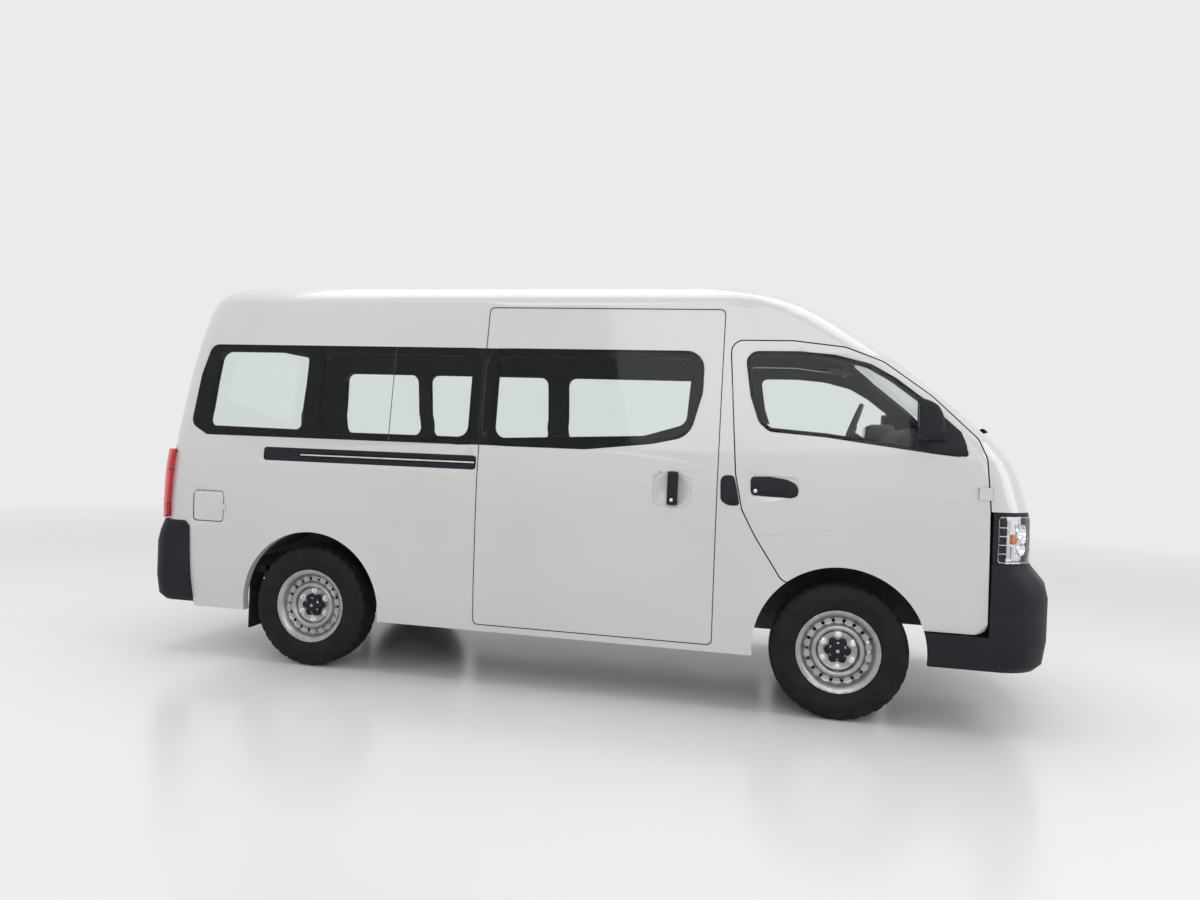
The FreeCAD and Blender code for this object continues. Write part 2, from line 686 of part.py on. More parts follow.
def make_front_axle():
    top = front_rail_bottom - seat_gap
    reach = rail_spacing / 2 - rail_width / 2
    pieces = [block(front_axle_x - 2 * rail_width, front_axle_x + 2 * rail_width, -reach, reach,
                    arm_low_z - arm_radius, arm_low_z + rail_width)]
    for side in (-1, 1):
        inner_y = side * (rail_spacing / 2 - rail_width / 2)
        ball = side * knuckle_y
        pieces.append(block(front_axle_x - 1.5 * rail_width, front_axle_x + 1.5 * rail_width,
                            *sorted((inner_y - side * rail_width, inner_y + side * rail_width)),
                            arm_low_z, top))
        seat_y = side * (rail_spacing / 2 + rail_width / 2 + seat_gap)
        pieces.append(block(front_axle_x - rail_width, front_axle_x + rail_width,
                            *sorted((seat_y, seat_y + side * arm_radius)),
                            arm_high_z - 1.5 * arm_radius, arm_high_z + 1.5 * arm_radius))
        high_root_y = seat_y + side * arm_radius / 2
        for z, spread, root_y in ((arm_low_z, 2.0, inner_y), (arm_high_z, 1.2, high_root_y)):
            for way in (-1, 1):
                root = V(front_axle_x + way * spread * rail_width / 2, root_y, z)
                pieces.append(rod(arm_radius, root, V(front_axle_x, ball, z)))
            pieces.append(rod(arm_radius * 1.6, V(front_axle_x, ball, z - arm_radius),
                              V(front_axle_x, ball, z + arm_radius)))
    return fused(pieces)


def make_knuckle(side):
    gap = arm_radius + seat_gap
    low, high = arm_low_z + gap, arm_high_z - gap
    between = sorted((side * (knuckle_y - knuckle_half), side * (knuckle_y + knuckle_half)))
    upright = block(front_axle_x - knuckle_half, front_axle_x + knuckle_half, *between, low, high)
    pin = rod(spindle_radius, V(front_axle_x, side * knuckle_y, tyre_radius),
              V(front_axle_x, side * (track / 2 + rim_width * 0.16), tyre_radius))
    drum = rod(spindle_radius * 4, V(front_axle_x, side * (knuckle_y + knuckle_half), tyre_radius),
               V(front_axle_x, side * (knuckle_y + knuckle_half + 2 * rim_sheet), tyre_radius))
    return fused([upright, pin, drum])


differential_shares = [(0.0, -1.0), (0.62, -0.95), (1.0, -0.35), (1.0, 0.35), (0.62, 0.95), (0.0, 1.0)]
differential_radius = 120.0


def make_differential():
    points = [(r * differential_radius, y * differential_radius) for r, y in differential_shares]
    return turned(points, V(rear_axle_x, 0, tyre_radius), 1)


def make_rear_axle():
    reach = track / 2 + rim_width * 0.16
    pieces = [rod(spindle_radius, V(rear_axle_x, -reach, tyre_radius), V(rear_axle_x, reach, tyre_radius)),
              rod(spindle_radius * 1.7, V(rear_axle_x, -track / 2 + tyre_width * 0.62, tyre_radius),
                  V(rear_axle_x, track / 2 - tyre_width * 0.62, tyre_radius)),
              make_differential()]
    span = wheelbase * 0.20
    for side in (-1, 1):
        y = side * (rail_spacing / 2)
        spring = [(rear_axle_x - span, back_rail_bottom - rail_width),
                  (rear_axle_x, tyre_radius + spindle_radius),
                  (rear_axle_x + span, back_rail_bottom - rail_width),
                  (rear_axle_x + span, back_rail_bottom - rail_width / 2),
                  (rear_axle_x, tyre_radius + spindle_radius + rail_width / 2),
                  (rear_axle_x - span, back_rail_bottom - rail_width / 2)]
        pieces.append(prism(spring, 4 * overrun, on_side, y - rail_width * 0.4, y + rail_width * 0.4))
        for way in (-1, 1):
            x = rear_axle_x + way * span
            pieces.append(block(x - rail_width / 3, x + rail_width / 3,
                                y - rail_width * 0.4, y + rail_width * 0.4,
                                back_rail_bottom - rail_width, back_rail_bottom - seat_gap))
        drum_y = side * knuckle_y
        pieces.append(rod(spindle_radius * 4, V(rear_axle_x, drum_y, tyre_radius),
                          V(rear_axle_x, drum_y + side * spindle_radius, tyre_radius)))
    return fused(pieces)


# A wheel: pressed steel rim with a ring of vents, hub boss and cap
def turned(points, centre, side):
    wire = Part.makePolygon([V(0, y, -r) for r, y in points + points[:1]])
    solid = Part.Face(wire).revolve(V(0, 0, 0), V(0, 1, 0), 360)
    if side < 0:
        solid = mirrored(solid)
    solid.translate(centre)
    return solid


rim_shares = [(1.000, 1.00), (1.000, 0.92), (0.930, 0.86), (0.840, 0.42), (0.840, -0.42), (0.930, -0.86),
              (1.000, -0.92), (1.000, -1.00), (0.890, -0.90), (0.800, -0.38), (0.800, 0.36), (0.675, 0.36),
              (0.600, 0.66), (0.540, 0.66), (0.450, 0.32)]
rim_face_shares = [(0.235, 0.42), (0.450, 0.42), (0.535, 0.78), (0.605, 0.78), (0.675, 0.46), (0.800, 0.46),
                   (0.890, 0.90)]
cap_shares = [(0.000, 0.80), (0.215, 0.72)]
vent_place_share = 0.735
hub_back_share = -0.20
hub_front_share = 0.34
tyre_shares = [(0.640, -0.90), (0.760, -1.00), (0.900, -0.94), (0.985, -0.72), (1.000, -0.30), (1.000, 0.30),
               (0.985, 0.72), (0.900, 0.94), (0.760, 1.00), (0.640, 0.90)]


def make_rim(x, side):
    centre = V(x, side * track / 2, tyre_radius)
    half = rim_width / 2
    bore = spindle_radius + bore_gap
    points = [(r * rim_radius, y * half) for r, y in rim_shares]
    points += [(hub_radius, rim_shares[-1][1] * half), (hub_radius, hub_back_share * half),
               (bore, hub_back_share * half), (bore, hub_front_share * half), (0, hub_front_share * half)]
    points += [(r * rim_radius, y * half) for r, y in cap_shares + rim_face_shares]
    rim = turned(points, centre, side)
    vents = []
    reach = vent_place_share * rim_radius
    for i in range(vent_count):
        angle = 2 * math.pi * i / vent_count
        spot = V(x + reach * math.cos(angle), side * (track - rim_width) / 2,
                 tyre_radius + reach * math.sin(angle))
        vents.append(Part.makeCylinder(vent_radius, rim_width, spot, V(0, side, 0)))
    return rim.cut(vents)


# A tyre is a ring of flat facets, with one flat on the ground
tyre_sides = 44


def make_tyre(x, side):
    bead = rim_shares[5][0] * rim_radius + 2 * seat_gap
    flange = rim_radius + rim_sheet / 4
    base = rim_shares[1][1] * rim_width / 2 - seat_gap
    points = [(bead, base - rim_sheet), (flange, base)]
    points += [(r * tyre_radius, -y * tyre_width / 2) for r, y in tyre_shares]
    points += [(flange, -base), (bead, rim_sheet - base)]
    rings = []
    for radius, y in points:
        reach = radius / math.cos(math.pi / tyre_sides)
        angles = [math.pi * (2 * i + 1) / tyre_sides for i in range(tyre_sides)]
        rings.append([V(x + reach * math.sin(a), side * (track / 2 + y), tyre_radius - reach * math.cos(a))
                      for a in angles])
    faces = []
    for ring, following in zip(rings, rings[1:] + rings[:1]):
        for i in range(tyre_sides):
            corners = [ring[i - 1], ring[i], following[i], following[i - 1]]
            faces.append(Part.Face(Part.makePolygon(corners + corners[:1])))
    solid = Part.Solid(Part.Shell(faces))
    return solid if solid.Volume > 0 else solid.reversed()


# Mirror, handles, wipers and fuel flap
mirror_shares = [(0.110, 0.622), (0.147, 0.622), (0.150, 0.706), (0.116, 0.708)]


def make_door_fittings(side):
    handle = hull(-rim_sheet).cut(hull(pane)).common(side_prism(handle_shares, overrun / 2, side))
    y = side * (half_width + 1.5 * wall)
    points = side_points(mirror_shares)
    head = prism(points, overrun / 2, on_side, *sorted((y - side * wall, y + side * 1.6 * wall)))
    foot = [(0.135, 0.622), (0.183, 0.606), (0.183, 0.650), (0.142, 0.655)]
    plate = hull(-rim_sheet * 2).cut(hull(-seat_gap)).common(side_prism(foot, overrun / 4, side))
    stem = rod(arm_radius * 1.3, V(side_x(0.152), side * (half_width - 0.6 * wall), 0.640 * height),
               V(side_x(0.130), side * (half_width + 1.2 * wall), 0.650 * height)).cut(hull(-seat_gap))
    return Part.makeCompound([handle, fused([head, stem, plate])])


def make_fuel_flap():
    flap = outer.cut(hull(wall / 3)).common(side_prism(fuel_flap_shares, overrun / 3, -1))
    return fused([flap, flap_hinge_leaf()])


def make_sliding_handle():
    dish = hull(0).cut(hull(pane)).common(side_prism(slide_handle_shares, overrun / 2, -1))
    bar = [(-0.305, 0.452), (-0.282, 0.452), (-0.282, 0.531), (-0.305, 0.531)]
    grip = hull(-wall / 3).cut(hull(pane / 2)).common(side_prism(bar, overrun / 8, -1, -panel_gap))
    return fused([dish, grip])


def make_wipers():
    blades = []
    for low, high in ((-0.60, 0.05), (0.02, 0.66)):
        z = 0.648 * height
        track_form = hull(-wall / 2.5).cut(hull(-wall / 5))
        blades.append(track_form.common(block(front_axle_x, front_x, low * half_width, high * half_width,
                                              z, z + wall / 3)))
        y = high * half_width - wall
        z_low = 0.618 * height
        arm = hull(-wall / 2.5).cut(hull(-seat_gap)).common(
            block(front_axle_x, front_x, y - wall / 4, y + wall / 4, z_low, z + wall / 4))
        blades[-1] = blades[-1].fuse(arm).removeSplitter()
    return Part.makeCompound(blades)


# Cabin: dashboard, steering wheel and column, seats
wheel_centre_share = 0.6455
steering_tilt = math.radians(20.0)
steering_radius = 190.0
grip_radius = 14.0
driver_y = 0.50 * half_width


def steering_place():
    return V(side_x(0.029), driver_y, wheel_centre_share * height)


def steering_axis():
    return V(-math.cos(steering_tilt), 0, math.sin(steering_tilt))


def make_dashboard():
    x0, x1 = side_x(0.085), side_x(0.232)
    points = [(x0 + wall, 0.480 * height), (x0 - 0.2 * wall, 0.560 * height), (x0, 0.630 * height),
              (x0 + wall, 0.650 * height), (x1 - 2 * wall, 0.640 * height), (x1, 0.615 * height),
              (x1, 0.430 * height), (x0 + 4 * wall, 0.430 * height)]
    dash = prism(points, wall, on_side, -half_width, half_width).common(hull(wall + 4 * door_gap))
    start = steering_place() - steering_axis() * (2 * wall)
    column = rod(grip_radius * 1.6, start, start - steering_axis() * (3.2 * wall))
    bracket = block(x1 - 2 * wall, x1 + 2 * wall, -4 * wall, 4 * wall, bonnet_hinge_z + pin_radius,
                    0.633 * height).common(room)
    return fused([dash, column, bracket])


grip_sides = 6
steering_hub_radius = 56.0


def make_steering_wheel():
    centre, axis = steering_place(), steering_axis()
    section = []
    for i in range(grip_sides + 1):
        angle = 2 * math.pi * i / grip_sides
        section.append(V(0, steering_radius + grip_radius * math.cos(angle), grip_radius * math.sin(angle)))
    ring = Part.Face(Part.makePolygon(section)).revolve(V(0, 0, 0), V(0, 0, 1), 360)
    pieces = [ring, Part.makeCylinder(steering_hub_radius, 2 * grip_radius, V(0, 0, -2 * grip_radius)),
              Part.makeCylinder(grip_radius, 2 * wall - seat_gap, V(0, 0, seat_gap - 2 * wall))]
    for turn in (0, 90, 180):
        spoke = block(0, steering_radius, -grip_radius, grip_radius, -grip_radius / 2, grip_radius / 2)
        spoke.rotate(V(0, 0, 0), V(0, 0, 1), turn)
        pieces.append(spoke)
    wheel = fused(pieces)
    wheel.rotate(V(0, 0, 0), V(0, 0, 1), 180)
    wheel.Placement = FreeCAD.Placement(centre, FreeCAD.Rotation(V(0, 0, 1), axis)).multiply(wheel.Placement)
    return wheel


seat_back = 90.0


# One seat or bench: cushion, back and legs down to its floor
def make_seat(x, y, width, base, top):
    depth = 0.168 * wheelbase
    cushion_z = base + 0.150 * height
    cushion = [(x, cushion_z - seat_back), (x + depth, cushion_z - seat_back),
               (x + depth, cushion_z + seat_back / 4), (x, cushion_z)]
    rest = [(x - seat_back, cushion_z - seat_back), (x, cushion_z - seat_back), (x, cushion_z),
            (x - seat_back * 0.8, top), (x - seat_back * 1.8, top)]
    pieces = [prism(cushion, seat_back / 3, on_side, y - width / 2, y + width / 2),
              prism(rest, seat_back / 4, on_side, y - width / 2, y + width / 2)]
    stand = block(x + depth * 0.15, x + depth * 0.85, y - width * 0.42, y + width * 0.42, base,
                  cushion_z - seat_back / 2)
    pieces.append(stand)
    return fused(pieces)


seat_top = 0.562 * height
bench_shares = (-0.420, -0.720, -1.010)


def make_benches():
    width = body_width - 2 * wall - 4 * wall
    return Part.makeCompound([make_seat(side_x(share), 0, width if share > -0.9 else width - 6 * wall,
                                        floor_height + seat_gap, seat_top) for share in bench_shares])


def make_exhaust():
    z = ground_clearance + rail_width
    y = -rail_spacing / 4
    pipe = rod(spindle_radius, V(side_x(-0.30), y, z), V(side_x(-0.80), y, z))
    silencer = rod(spindle_radius * 3.2, V(side_x(-0.62), y, z), V(side_x(-0.45), y, z))
    hang = block(side_x(-0.53), side_x(-0.52), y - spindle_radius / 2, y + spindle_radius / 2, z,
                 floor_height - floor_plate - seat_gap)
    return fused([pipe, silencer, hang])


def make_fuel_tank():
    tank = block(side_x(-0.76), side_x(-0.36), rail_spacing / 2 + rail_width / 2 + overrun / 2,
                 half_width - 1.6 * wall, ground_clearance + wall, back_rail_bottom - seat_gap)
    long_edges = [e for e in tank.Edges if abs(e.Length - 0.40 * wheelbase) < wall]
    strap = block(side_x(-0.58), side_x(-0.56), rail_spacing / 2 + rail_width / 2 + overrun,
                  half_width - 3 * wall, back_rail_bottom - wall, floor_height - floor_plate - seat_gap)
    return tank.makeFillet(wall, long_edges).fuse(strap).removeSplitter()


def make_mudflaps():
    flaps = []
    x = rear_axle_x - arch_radius + panel_gap
    edge = body_level_shares[0][1] * half_width - wall - seat_gap
    for side in (-1, 1):
        low, high = sorted((side * (edge - 2.6 * wall), side * edge))
        flaps.append(block(x, x + rim_sheet, low, high, 0.077 * height, ground_clearance + 4 * wall))
    return Part.makeCompound(flaps)


# Every piece, built and written out
def build():
    save("roof_panel", make_roof())
    side_wall = make_side()
    save("right_side", make_right_side(side_wall))
    save("left_side", make_left_side(side_wall))
    save("front_frame", make_front_frame())
    save("bonnet", fused([shell.common(front_prism(bonnet_shares, overrun)), bonnet_hinge_leaf()]))
    save("front_bumper", make_front_bumper())
    save("rear_bumper", make_rear_bumper())
    save("grille", make_grille())
    save("headlamps", make_lamps(head_lamp_zone, panel_gap))
    save("tail_lamps", make_lamps(tail_lamp_zone, wall / 2))
    save("windscreen", pane_piece(front_prism(screen_shares, 4 * overrun / 3, -panel_gap)))
    save("right_side_glass", pane_piece(side_prism(quarter_pane_shares, overrun, -1, -seat_gap)))
    save("left_side_glass", Part.makeCompound([
        pane_piece(side_prism(quarter_pane_shares, overrun, 1, -seat_gap)),
        pane_piece(side_prism(sliding_pane_shares, 2 * overrun, 1, -seat_gap))]))
    save("sliding_door", make_sliding_door())
    save("sliding_door_glass", pane_piece(side_prism(sliding_pane_shares, 2 * overrun, -1)))
    save("sliding_door_handle", make_sliding_handle())
    save("slide_rail", make_rail())
    save("tailgate", make_tailgate())
    save("tailgate_glass", pane_piece(rear_prism(tailgate_pane_shares, overrun)))
    save("fuel_flap", make_fuel_flap())
    save_pair("door", make_front_door(1))
    save_pair("door_glass", pane_piece(side_prism(door_pane_shares, overrun, 1)))
    save_pair("door_fittings", make_door_fittings(1))
    save_pair("knuckle", make_knuckle(1))
    for end, x in (("front_", front_axle_x), ("rear_", rear_axle_x)):
        save_pair("rim", make_rim(x, 1), end)
        save_pair("tyre", make_tyre(x, 1), end)
    save("wipers", make_wipers())
    save("floor_pan", make_floor())
    save("frame_rails", make_frame())
    save("engine_block", make_engine())
    save("front_axle", make_front_axle())
    save("rear_axle", make_rear_axle())
    save("exhaust", make_exhaust())
    save("fuel_tank", make_fuel_tank())
    save("mudflaps", make_mudflaps())
    save("dashboard", make_dashboard())
    save("steering_wheel", make_steering_wheel())
    for name, side in (("driver_seat", 1), ("passenger_seat", -1)):
        save(name, make_seat(side_x(-0.165), side * driver_y, 0.62 * half_width,
                             platform_height + seat_gap, 0.630 * height))
    save("rear_benches", make_benches())


build()
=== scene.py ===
import bpy
import bmesh
import json
import math
from mathutils import Matrix, Vector
from mathutils.bvhtree import BVHTree


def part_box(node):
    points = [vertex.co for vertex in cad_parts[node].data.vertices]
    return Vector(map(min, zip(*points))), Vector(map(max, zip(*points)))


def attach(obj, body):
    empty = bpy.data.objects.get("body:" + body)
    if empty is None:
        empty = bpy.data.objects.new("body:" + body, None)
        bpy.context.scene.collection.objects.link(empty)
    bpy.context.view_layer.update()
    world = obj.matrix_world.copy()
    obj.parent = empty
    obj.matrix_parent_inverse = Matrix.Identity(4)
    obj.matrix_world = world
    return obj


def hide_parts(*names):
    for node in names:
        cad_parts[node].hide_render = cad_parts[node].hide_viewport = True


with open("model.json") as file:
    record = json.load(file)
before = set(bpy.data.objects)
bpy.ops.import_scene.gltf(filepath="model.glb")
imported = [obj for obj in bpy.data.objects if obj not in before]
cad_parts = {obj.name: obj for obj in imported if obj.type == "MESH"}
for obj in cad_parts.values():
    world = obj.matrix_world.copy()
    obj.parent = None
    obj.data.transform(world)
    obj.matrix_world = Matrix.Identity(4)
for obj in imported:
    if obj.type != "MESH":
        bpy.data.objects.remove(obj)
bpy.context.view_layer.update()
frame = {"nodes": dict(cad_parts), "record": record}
nodes = frame["nodes"]
slotOf = {row["node"]: row["material_slot"] for row in frame["record"]["subparts"]}
bodyOf = {node: body for body, members in frame["record"]["behaviour"]["bodies"].items() for node in members}
print("frame loaded:", len(nodes), "pieces")


# small helpers

def clearSelection():
    if bpy.context.object and bpy.context.object.mode != "OBJECT":
        bpy.ops.object.mode_set(mode="OBJECT")
    bpy.ops.object.select_all(action="DESELECT")


def pick(piece):
    clearSelection()
    piece.select_set(True)
    bpy.context.view_layer.objects.active = piece
    return piece


def applyModifiers(piece):
    pick(piece)
    for modifier in list(piece.modifiers):
        bpy.ops.object.modifier_apply(modifier=modifier.name)


def bakePlace(piece):
    pick(piece)
    bpy.ops.object.transform_apply(location=True, rotation=True, scale=True)


def newPiece(name, data):
    piece = bpy.data.objects.new(name, data)
    bpy.context.scene.collection.objects.link(piece)
    return piece


def meshObject(name, vertices, faces, edges=()):
    mesh = bpy.data.meshes.new(name)
    mesh.from_pydata([tuple(v) for v in vertices], list(edges), [tuple(f) for f in faces])
    return newPiece(name, mesh)


def wear(piece, *materials):
    piece.data.materials.clear()
    for material in materials:
        piece.data.materials.append(material)


def fitOut(piece, body, slot, *materials):
    if materials:
        wear(piece, *materials)
    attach(piece, body)
    return piece


# a piece in the slot's own finish
def dressed(piece, body, slot):
    return fitOut(piece, body, slot, finishes[slot])


def smoothAt(piece, degrees):
    pick(piece)
    bpy.ops.object.shade_smooth_by_angle(angle=math.radians(degrees))


def facesOut(piece):
    pick(piece)
    bpy.ops.object.mode_set(mode="EDIT")
    bpy.ops.mesh.select_all(action="SELECT")
    bpy.ops.mesh.remove_doubles(threshold=1e-5)
    bpy.ops.mesh.normals_make_consistent(inside=False)
    bpy.ops.object.mode_set(mode="OBJECT")


def bevelled(piece, width, segments=2, angle=35):
    bevel = piece.modifiers.new("edgeRound", "BEVEL")
    bevel.width = width
    bevel.segments = segments
    bevel.limit_method = "ANGLE"
    bevel.angle_limit = math.radians(angle)
    applyModifiers(piece)
    smoothAt(piece, 40)


def thickened(piece, thickness, offset=-1):
    wall = piece.modifiers.new("thickness", "SOLIDIFY")
    wall.thickness = thickness
    wall.offset = offset
    applyModifiers(piece)


def carved(piece, tool):
    carve = piece.modifiers.new("hollow", "BOOLEAN")
    carve.operation = "DIFFERENCE"
    carve.object = tool
    applyModifiers(piece)


def joined(name, pieces):
    clearSelection()
    for piece in pieces:
        piece.select_set(True)
    bpy.context.view_layer.objects.active = pieces[0]
    bpy.ops.object.join()
    pieces[0].name = name
    pieces[0].data.name = name
    return pieces[0]


def roundedBox(name, low, high, radius, segments=3):
    clearSelection()
    size = [b - a for a, b in zip(low, high)]
    middle = [(a + b) / 2 for a, b in zip(low, high)]
    bpy.ops.mesh.primitive_cube_add(size=1, location=middle)
    piece = bpy.context.object
    piece.name = name
    piece.scale = size
    bakePlace(piece)
    bevelled(piece, min(radius, min(size) * 0.49), segments)
    return piece


def roundBar(name, start, finish, radius, sides=20, edge=0.0):
    clearSelection()
    start, finish = Vector(start), Vector(finish)
    run = finish - start
    bpy.ops.mesh.primitive_cylinder_add(vertices=sides, radius=radius, depth=run.length,
                                        location=(start + finish) / 2,
                                        rotation=run.to_track_quat("Z", "Y").to_euler())
    piece = bpy.context.object
    piece.name = name
    bakePlace(piece)
    if edge:
        bevelled(piece, edge)
    else:
        smoothAt(piece, 40)
    return piece


# profile points are (along the Y axis, radius); the closed profile spins round Y through the origin
def spun(name, profile, steps):
    count = len(profile)
    links = [(i, (i + 1) % count) for i in range(count)]
    piece = meshObject(name, [(0, y, r) for y, r in profile], [], links)
    pick(piece)
    bpy.ops.object.mode_set(mode="EDIT")
    bpy.ops.mesh.select_all(action="SELECT")
    bpy.ops.mesh.spin(steps=steps, angle=2 * math.pi, center=(0, 0, 0), axis=(0, 1, 0))
    bpy.ops.object.mode_set(mode="OBJECT")
    facesOut(piece)
    return piece


# materials: tint is (noise scale, detail, dark, light), rough is (noise scale, detail, low, high), grain is
# (noise scale, detail, strength, distance) and ribs are (wave scale, direction, strength, distance)

def finish(name, colour, roughness, metallic=0.0, tint=None, rough=None, grain=None, ribs=None, **sockets):
    material = bpy.data.materials.new(name)
    material.use_nodes = True
    shader = material.node_tree.nodes["Principled BSDF"]
    shader.inputs["Base Color"].default_value = (*colour, 1)
    shader.inputs["Roughness"].default_value = roughness
    shader.inputs["Metallic"].default_value = metallic
    for socket, value in sockets.items():
        shader.inputs[socket.replace("_", " ")].default_value = value
    if tint:
        tinted(material, noise(material, *tint[:2]), *tint[2:])
    if rough:
        roughened(material, noise(material, *rough[:2]), *rough[2:])
    if grain:
        bump(material, noise(material, *grain[:2]), *grain[2:])
    if ribs:
        bump(material, wave(material, *ribs[:2]), *ribs[2:])
    return material


def node(material, kind, **values):
    item = material.node_tree.nodes.new(kind)
    for key, value in values.items():
        if key in item.inputs:
            item.inputs[key].default_value = value
        else:
            setattr(item, key, value)
    return item


def onObject(material, pattern):
    coordinates = node(material, "ShaderNodeTexCoord")
    material.node_tree.links.new(coordinates.outputs["Object"], pattern.inputs["Vector"])
    return pattern.outputs["Fac"]


def noise(material, scale, detail):
    return onObject(material, node(material, "ShaderNodeTexNoise", Scale=scale, Detail=detail))


def wave(material, scale, direction):
    return onObject(material, node(material, "ShaderNodeTexWave", Scale=scale, bands_direction=direction))


def bump(material, height, strength, distance, below=None):
    item = node(material, "ShaderNodeBump", Strength=strength, Distance=distance)
    links = material.node_tree.links
    links.new(height, item.inputs["Height"])
    if below is not None:
        links.new(below, item.inputs["Normal"])
    links.new(item.outputs["Normal"], material.node_tree.nodes["Principled BSDF"].inputs["Normal"])
    return item.outputs["Normal"]


def tinted(material, factor, dark, light, low=0.35, high=0.65):
    ramp = node(material, "ShaderNodeValToRGB")
    ramp.color_ramp.elements[0].position = low
    ramp.color_ramp.elements[1].position = high
    ramp.color_ramp.elements[0].color = (*dark, 1)
    ramp.color_ramp.elements[1].color = (*light, 1)
    links = material.node_tree.links
    links.new(factor, ramp.inputs["Fac"])
    links.new(ramp.outputs["Color"], material.node_tree.nodes["Principled BSDF"].inputs["Base Color"])


def roughened(material, factor, low, high):
    span = node(material, "ShaderNodeMapRange")
    span.inputs["To Min"].default_value = low
    span.inputs["To Max"].default_value = high
    links = material.node_tree.links
    links.new(factor, span.inputs["Value"])
    links.new(span.outputs["Result"], material.node_tree.nodes["Principled BSDF"].inputs["Roughness"])


def redLensFinish():
    material = finish("redLens", (0.62, 0.018, 0.026), 0.12, Coat_Weight=0.6, Coat_Roughness=0.05,
                      Subsurface_Weight=0.25, Subsurface_Radius=(0.02, 0.004, 0.004),
                      ribs=(150.0, "Y", 0.35, 0.001))
    tinted(material, wave(material, 26.0, "Z"), (0.52, 0.012, 0.022), (0.74, 0.045, 0.055), 0.1, 0.9)
    return material


def clothFinish():
    material = finish("seatCloth", (0.10, 0.11, 0.13), 0.9, Sheen_Weight=0.35,
                      tint=(220.0, 4.0, (0.070, 0.078, 0.094), (0.140, 0.150, 0.170)))
    first = bump(material, wave(material, 420.0, "X"), 0.5, 0.0006)
    second = bump(material, wave(material, 420.0, "DIAGONAL"), 0.5, 0.0006, first)
    bump(material, noise(material, 60.0, 3.0), 0.2, 0.002, second)
    return material


# plain metals, plastics and rubbers: a mottled tint and a grain
def grained(name, dark, light, roughness, metallic, grain=300.0):
    return finish(name, light, roughness, metallic, Specular_IOR_Level=0.3, tint=(18.0, 5.0, dark, light),
                  rough=(45.0, 4.0, roughness * 0.8, min(1.0, roughness * 1.2)),
                  grain=(grain, 3.0, 0.3, 0.0006))


finishes = {
    "body_paint": finish("bodyPaint", (0.60, 0.59, 0.585), 0.32, Coat_Weight=0.8, Coat_Roughness=0.05,
                         tint=(1.3, 2.0, (0.588, 0.580, 0.575), (0.612, 0.603, 0.597)),
                         rough=(9.0, 4.0, 0.26, 0.36), grain=(420.0, 2.0, 0.05, 0.0002)),
    "dark_plastic": finish("darkPlastic", (0.010, 0.012, 0.017), 0.52, Specular_IOR_Level=0.22,
                           tint=(6.0, 5.0, (0.008, 0.010, 0.014), (0.013, 0.015, 0.021)),
                           rough=(14.0, 4.0, 0.46, 0.60), grain=(1600.0, 2.0, 0.25, 0.0004)),
    "tinted_glass": finish("windowGlass", (0.885, 0.925, 0.915), 0.0, Transmission_Weight=1.0, IOR=1.22,
                           grain=(2.2, 1.0, 0.03, 0.001)),
    "lamp_lens": finish("lampLens", (0.97, 0.98, 0.99), 0.02, Transmission_Weight=1.0, IOR=1.30,
                        grain=(7.0, 1.0, 0.03, 0.001)),
    "red_lens": redLensFinish(),
    "underbody": grained("underbodySeal", (0.035, 0.037, 0.040), (0.060, 0.062, 0.066), 0.65, 0.2),
    "cast_metal": grained("castMetal", (0.075, 0.076, 0.080), (0.130, 0.132, 0.136), 0.6, 0.8, 500.0),
    "exhaust_steel": grained("exhaustSteel", (0.19, 0.175, 0.16), (0.32, 0.315, 0.31), 0.42, 0.9),
    "tank_plastic": grained("tankPlastic", (0.014, 0.015, 0.017), (0.024, 0.025, 0.028), 0.55, 0.0),
    "rubber_flap": grained("flapRubber", (0.012, 0.0125, 0.014), (0.022, 0.023, 0.025), 0.75, 0.0, 150.0),
    "dash_plastic": grained("dashPlastic", (0.050, 0.053, 0.058), (0.075, 0.078, 0.084), 0.6, 0.0, 900.0),
    "seat_cloth": clothFinish(),
    "wheel_steel": finish("wheelSteel", (0.36, 0.36, 0.37), 0.30, 0.85, Coat_Weight=0.2,
                          tint=(16.0, 4.0, (0.31, 0.31, 0.32), (0.41, 0.41, 0.42)),
                          rough=(60.0, 4.0, 0.24, 0.40), grain=(900.0, 2.0, 0.08, 0.0003)),
    "tyre_rubber": finish("tyreRubber", (0.009, 0.0095, 0.011), 0.62, Specular_IOR_Level=0.18,
                          tint=(12.0, 5.0, (0.0065, 0.007, 0.008), (0.013, 0.0135, 0.015)),
                          rough=(30.0, 4.0, 0.52, 0.74), grain=(600.0, 3.0, 0.3, 0.0006)),
}
frit = finish("windowFrit", (0.003, 0.004, 0.006), 0.85, Specular_IOR_Level=0.03,
              tint=(60.0, 3.0, (0.0025, 0.0035, 0.005), (0.004, 0.005, 0.007)))
glossBlack = finish("glossBlack", (0.004, 0.005, 0.007), 0.10, Specular_IOR_Level=0.25,
                    rough=(60.0, 3.0, 0.06, 0.14))
innerTrim = finish("innerTrim", (0.035, 0.036, 0.039), 0.8, Specular_IOR_Level=0.3,
                   tint=(25.0, 5.0, (0.028, 0.029, 0.032), (0.042, 0.043, 0.046)),
                   grain=(700.0, 3.0, 0.4, 0.0006))
reflector = finish("lampReflector", (0.88, 0.89, 0.91), 0.10, 1.0, rough=(40.0, 3.0, 0.06, 0.16),
                   ribs=(16.0, "Y", 0.35, 0.004))
amber = finish("amberLens", (0.85, 0.28, 0.03), 0.12, Transmission_Weight=0.25, ribs=(90.0, "Z", 0.3, 0.001))
darkTail = finish("darkTailLens", (0.30, 0.012, 0.018), 0.12, Coat_Weight=0.6, ribs=(150.0, "Y", 0.3, 0.001))
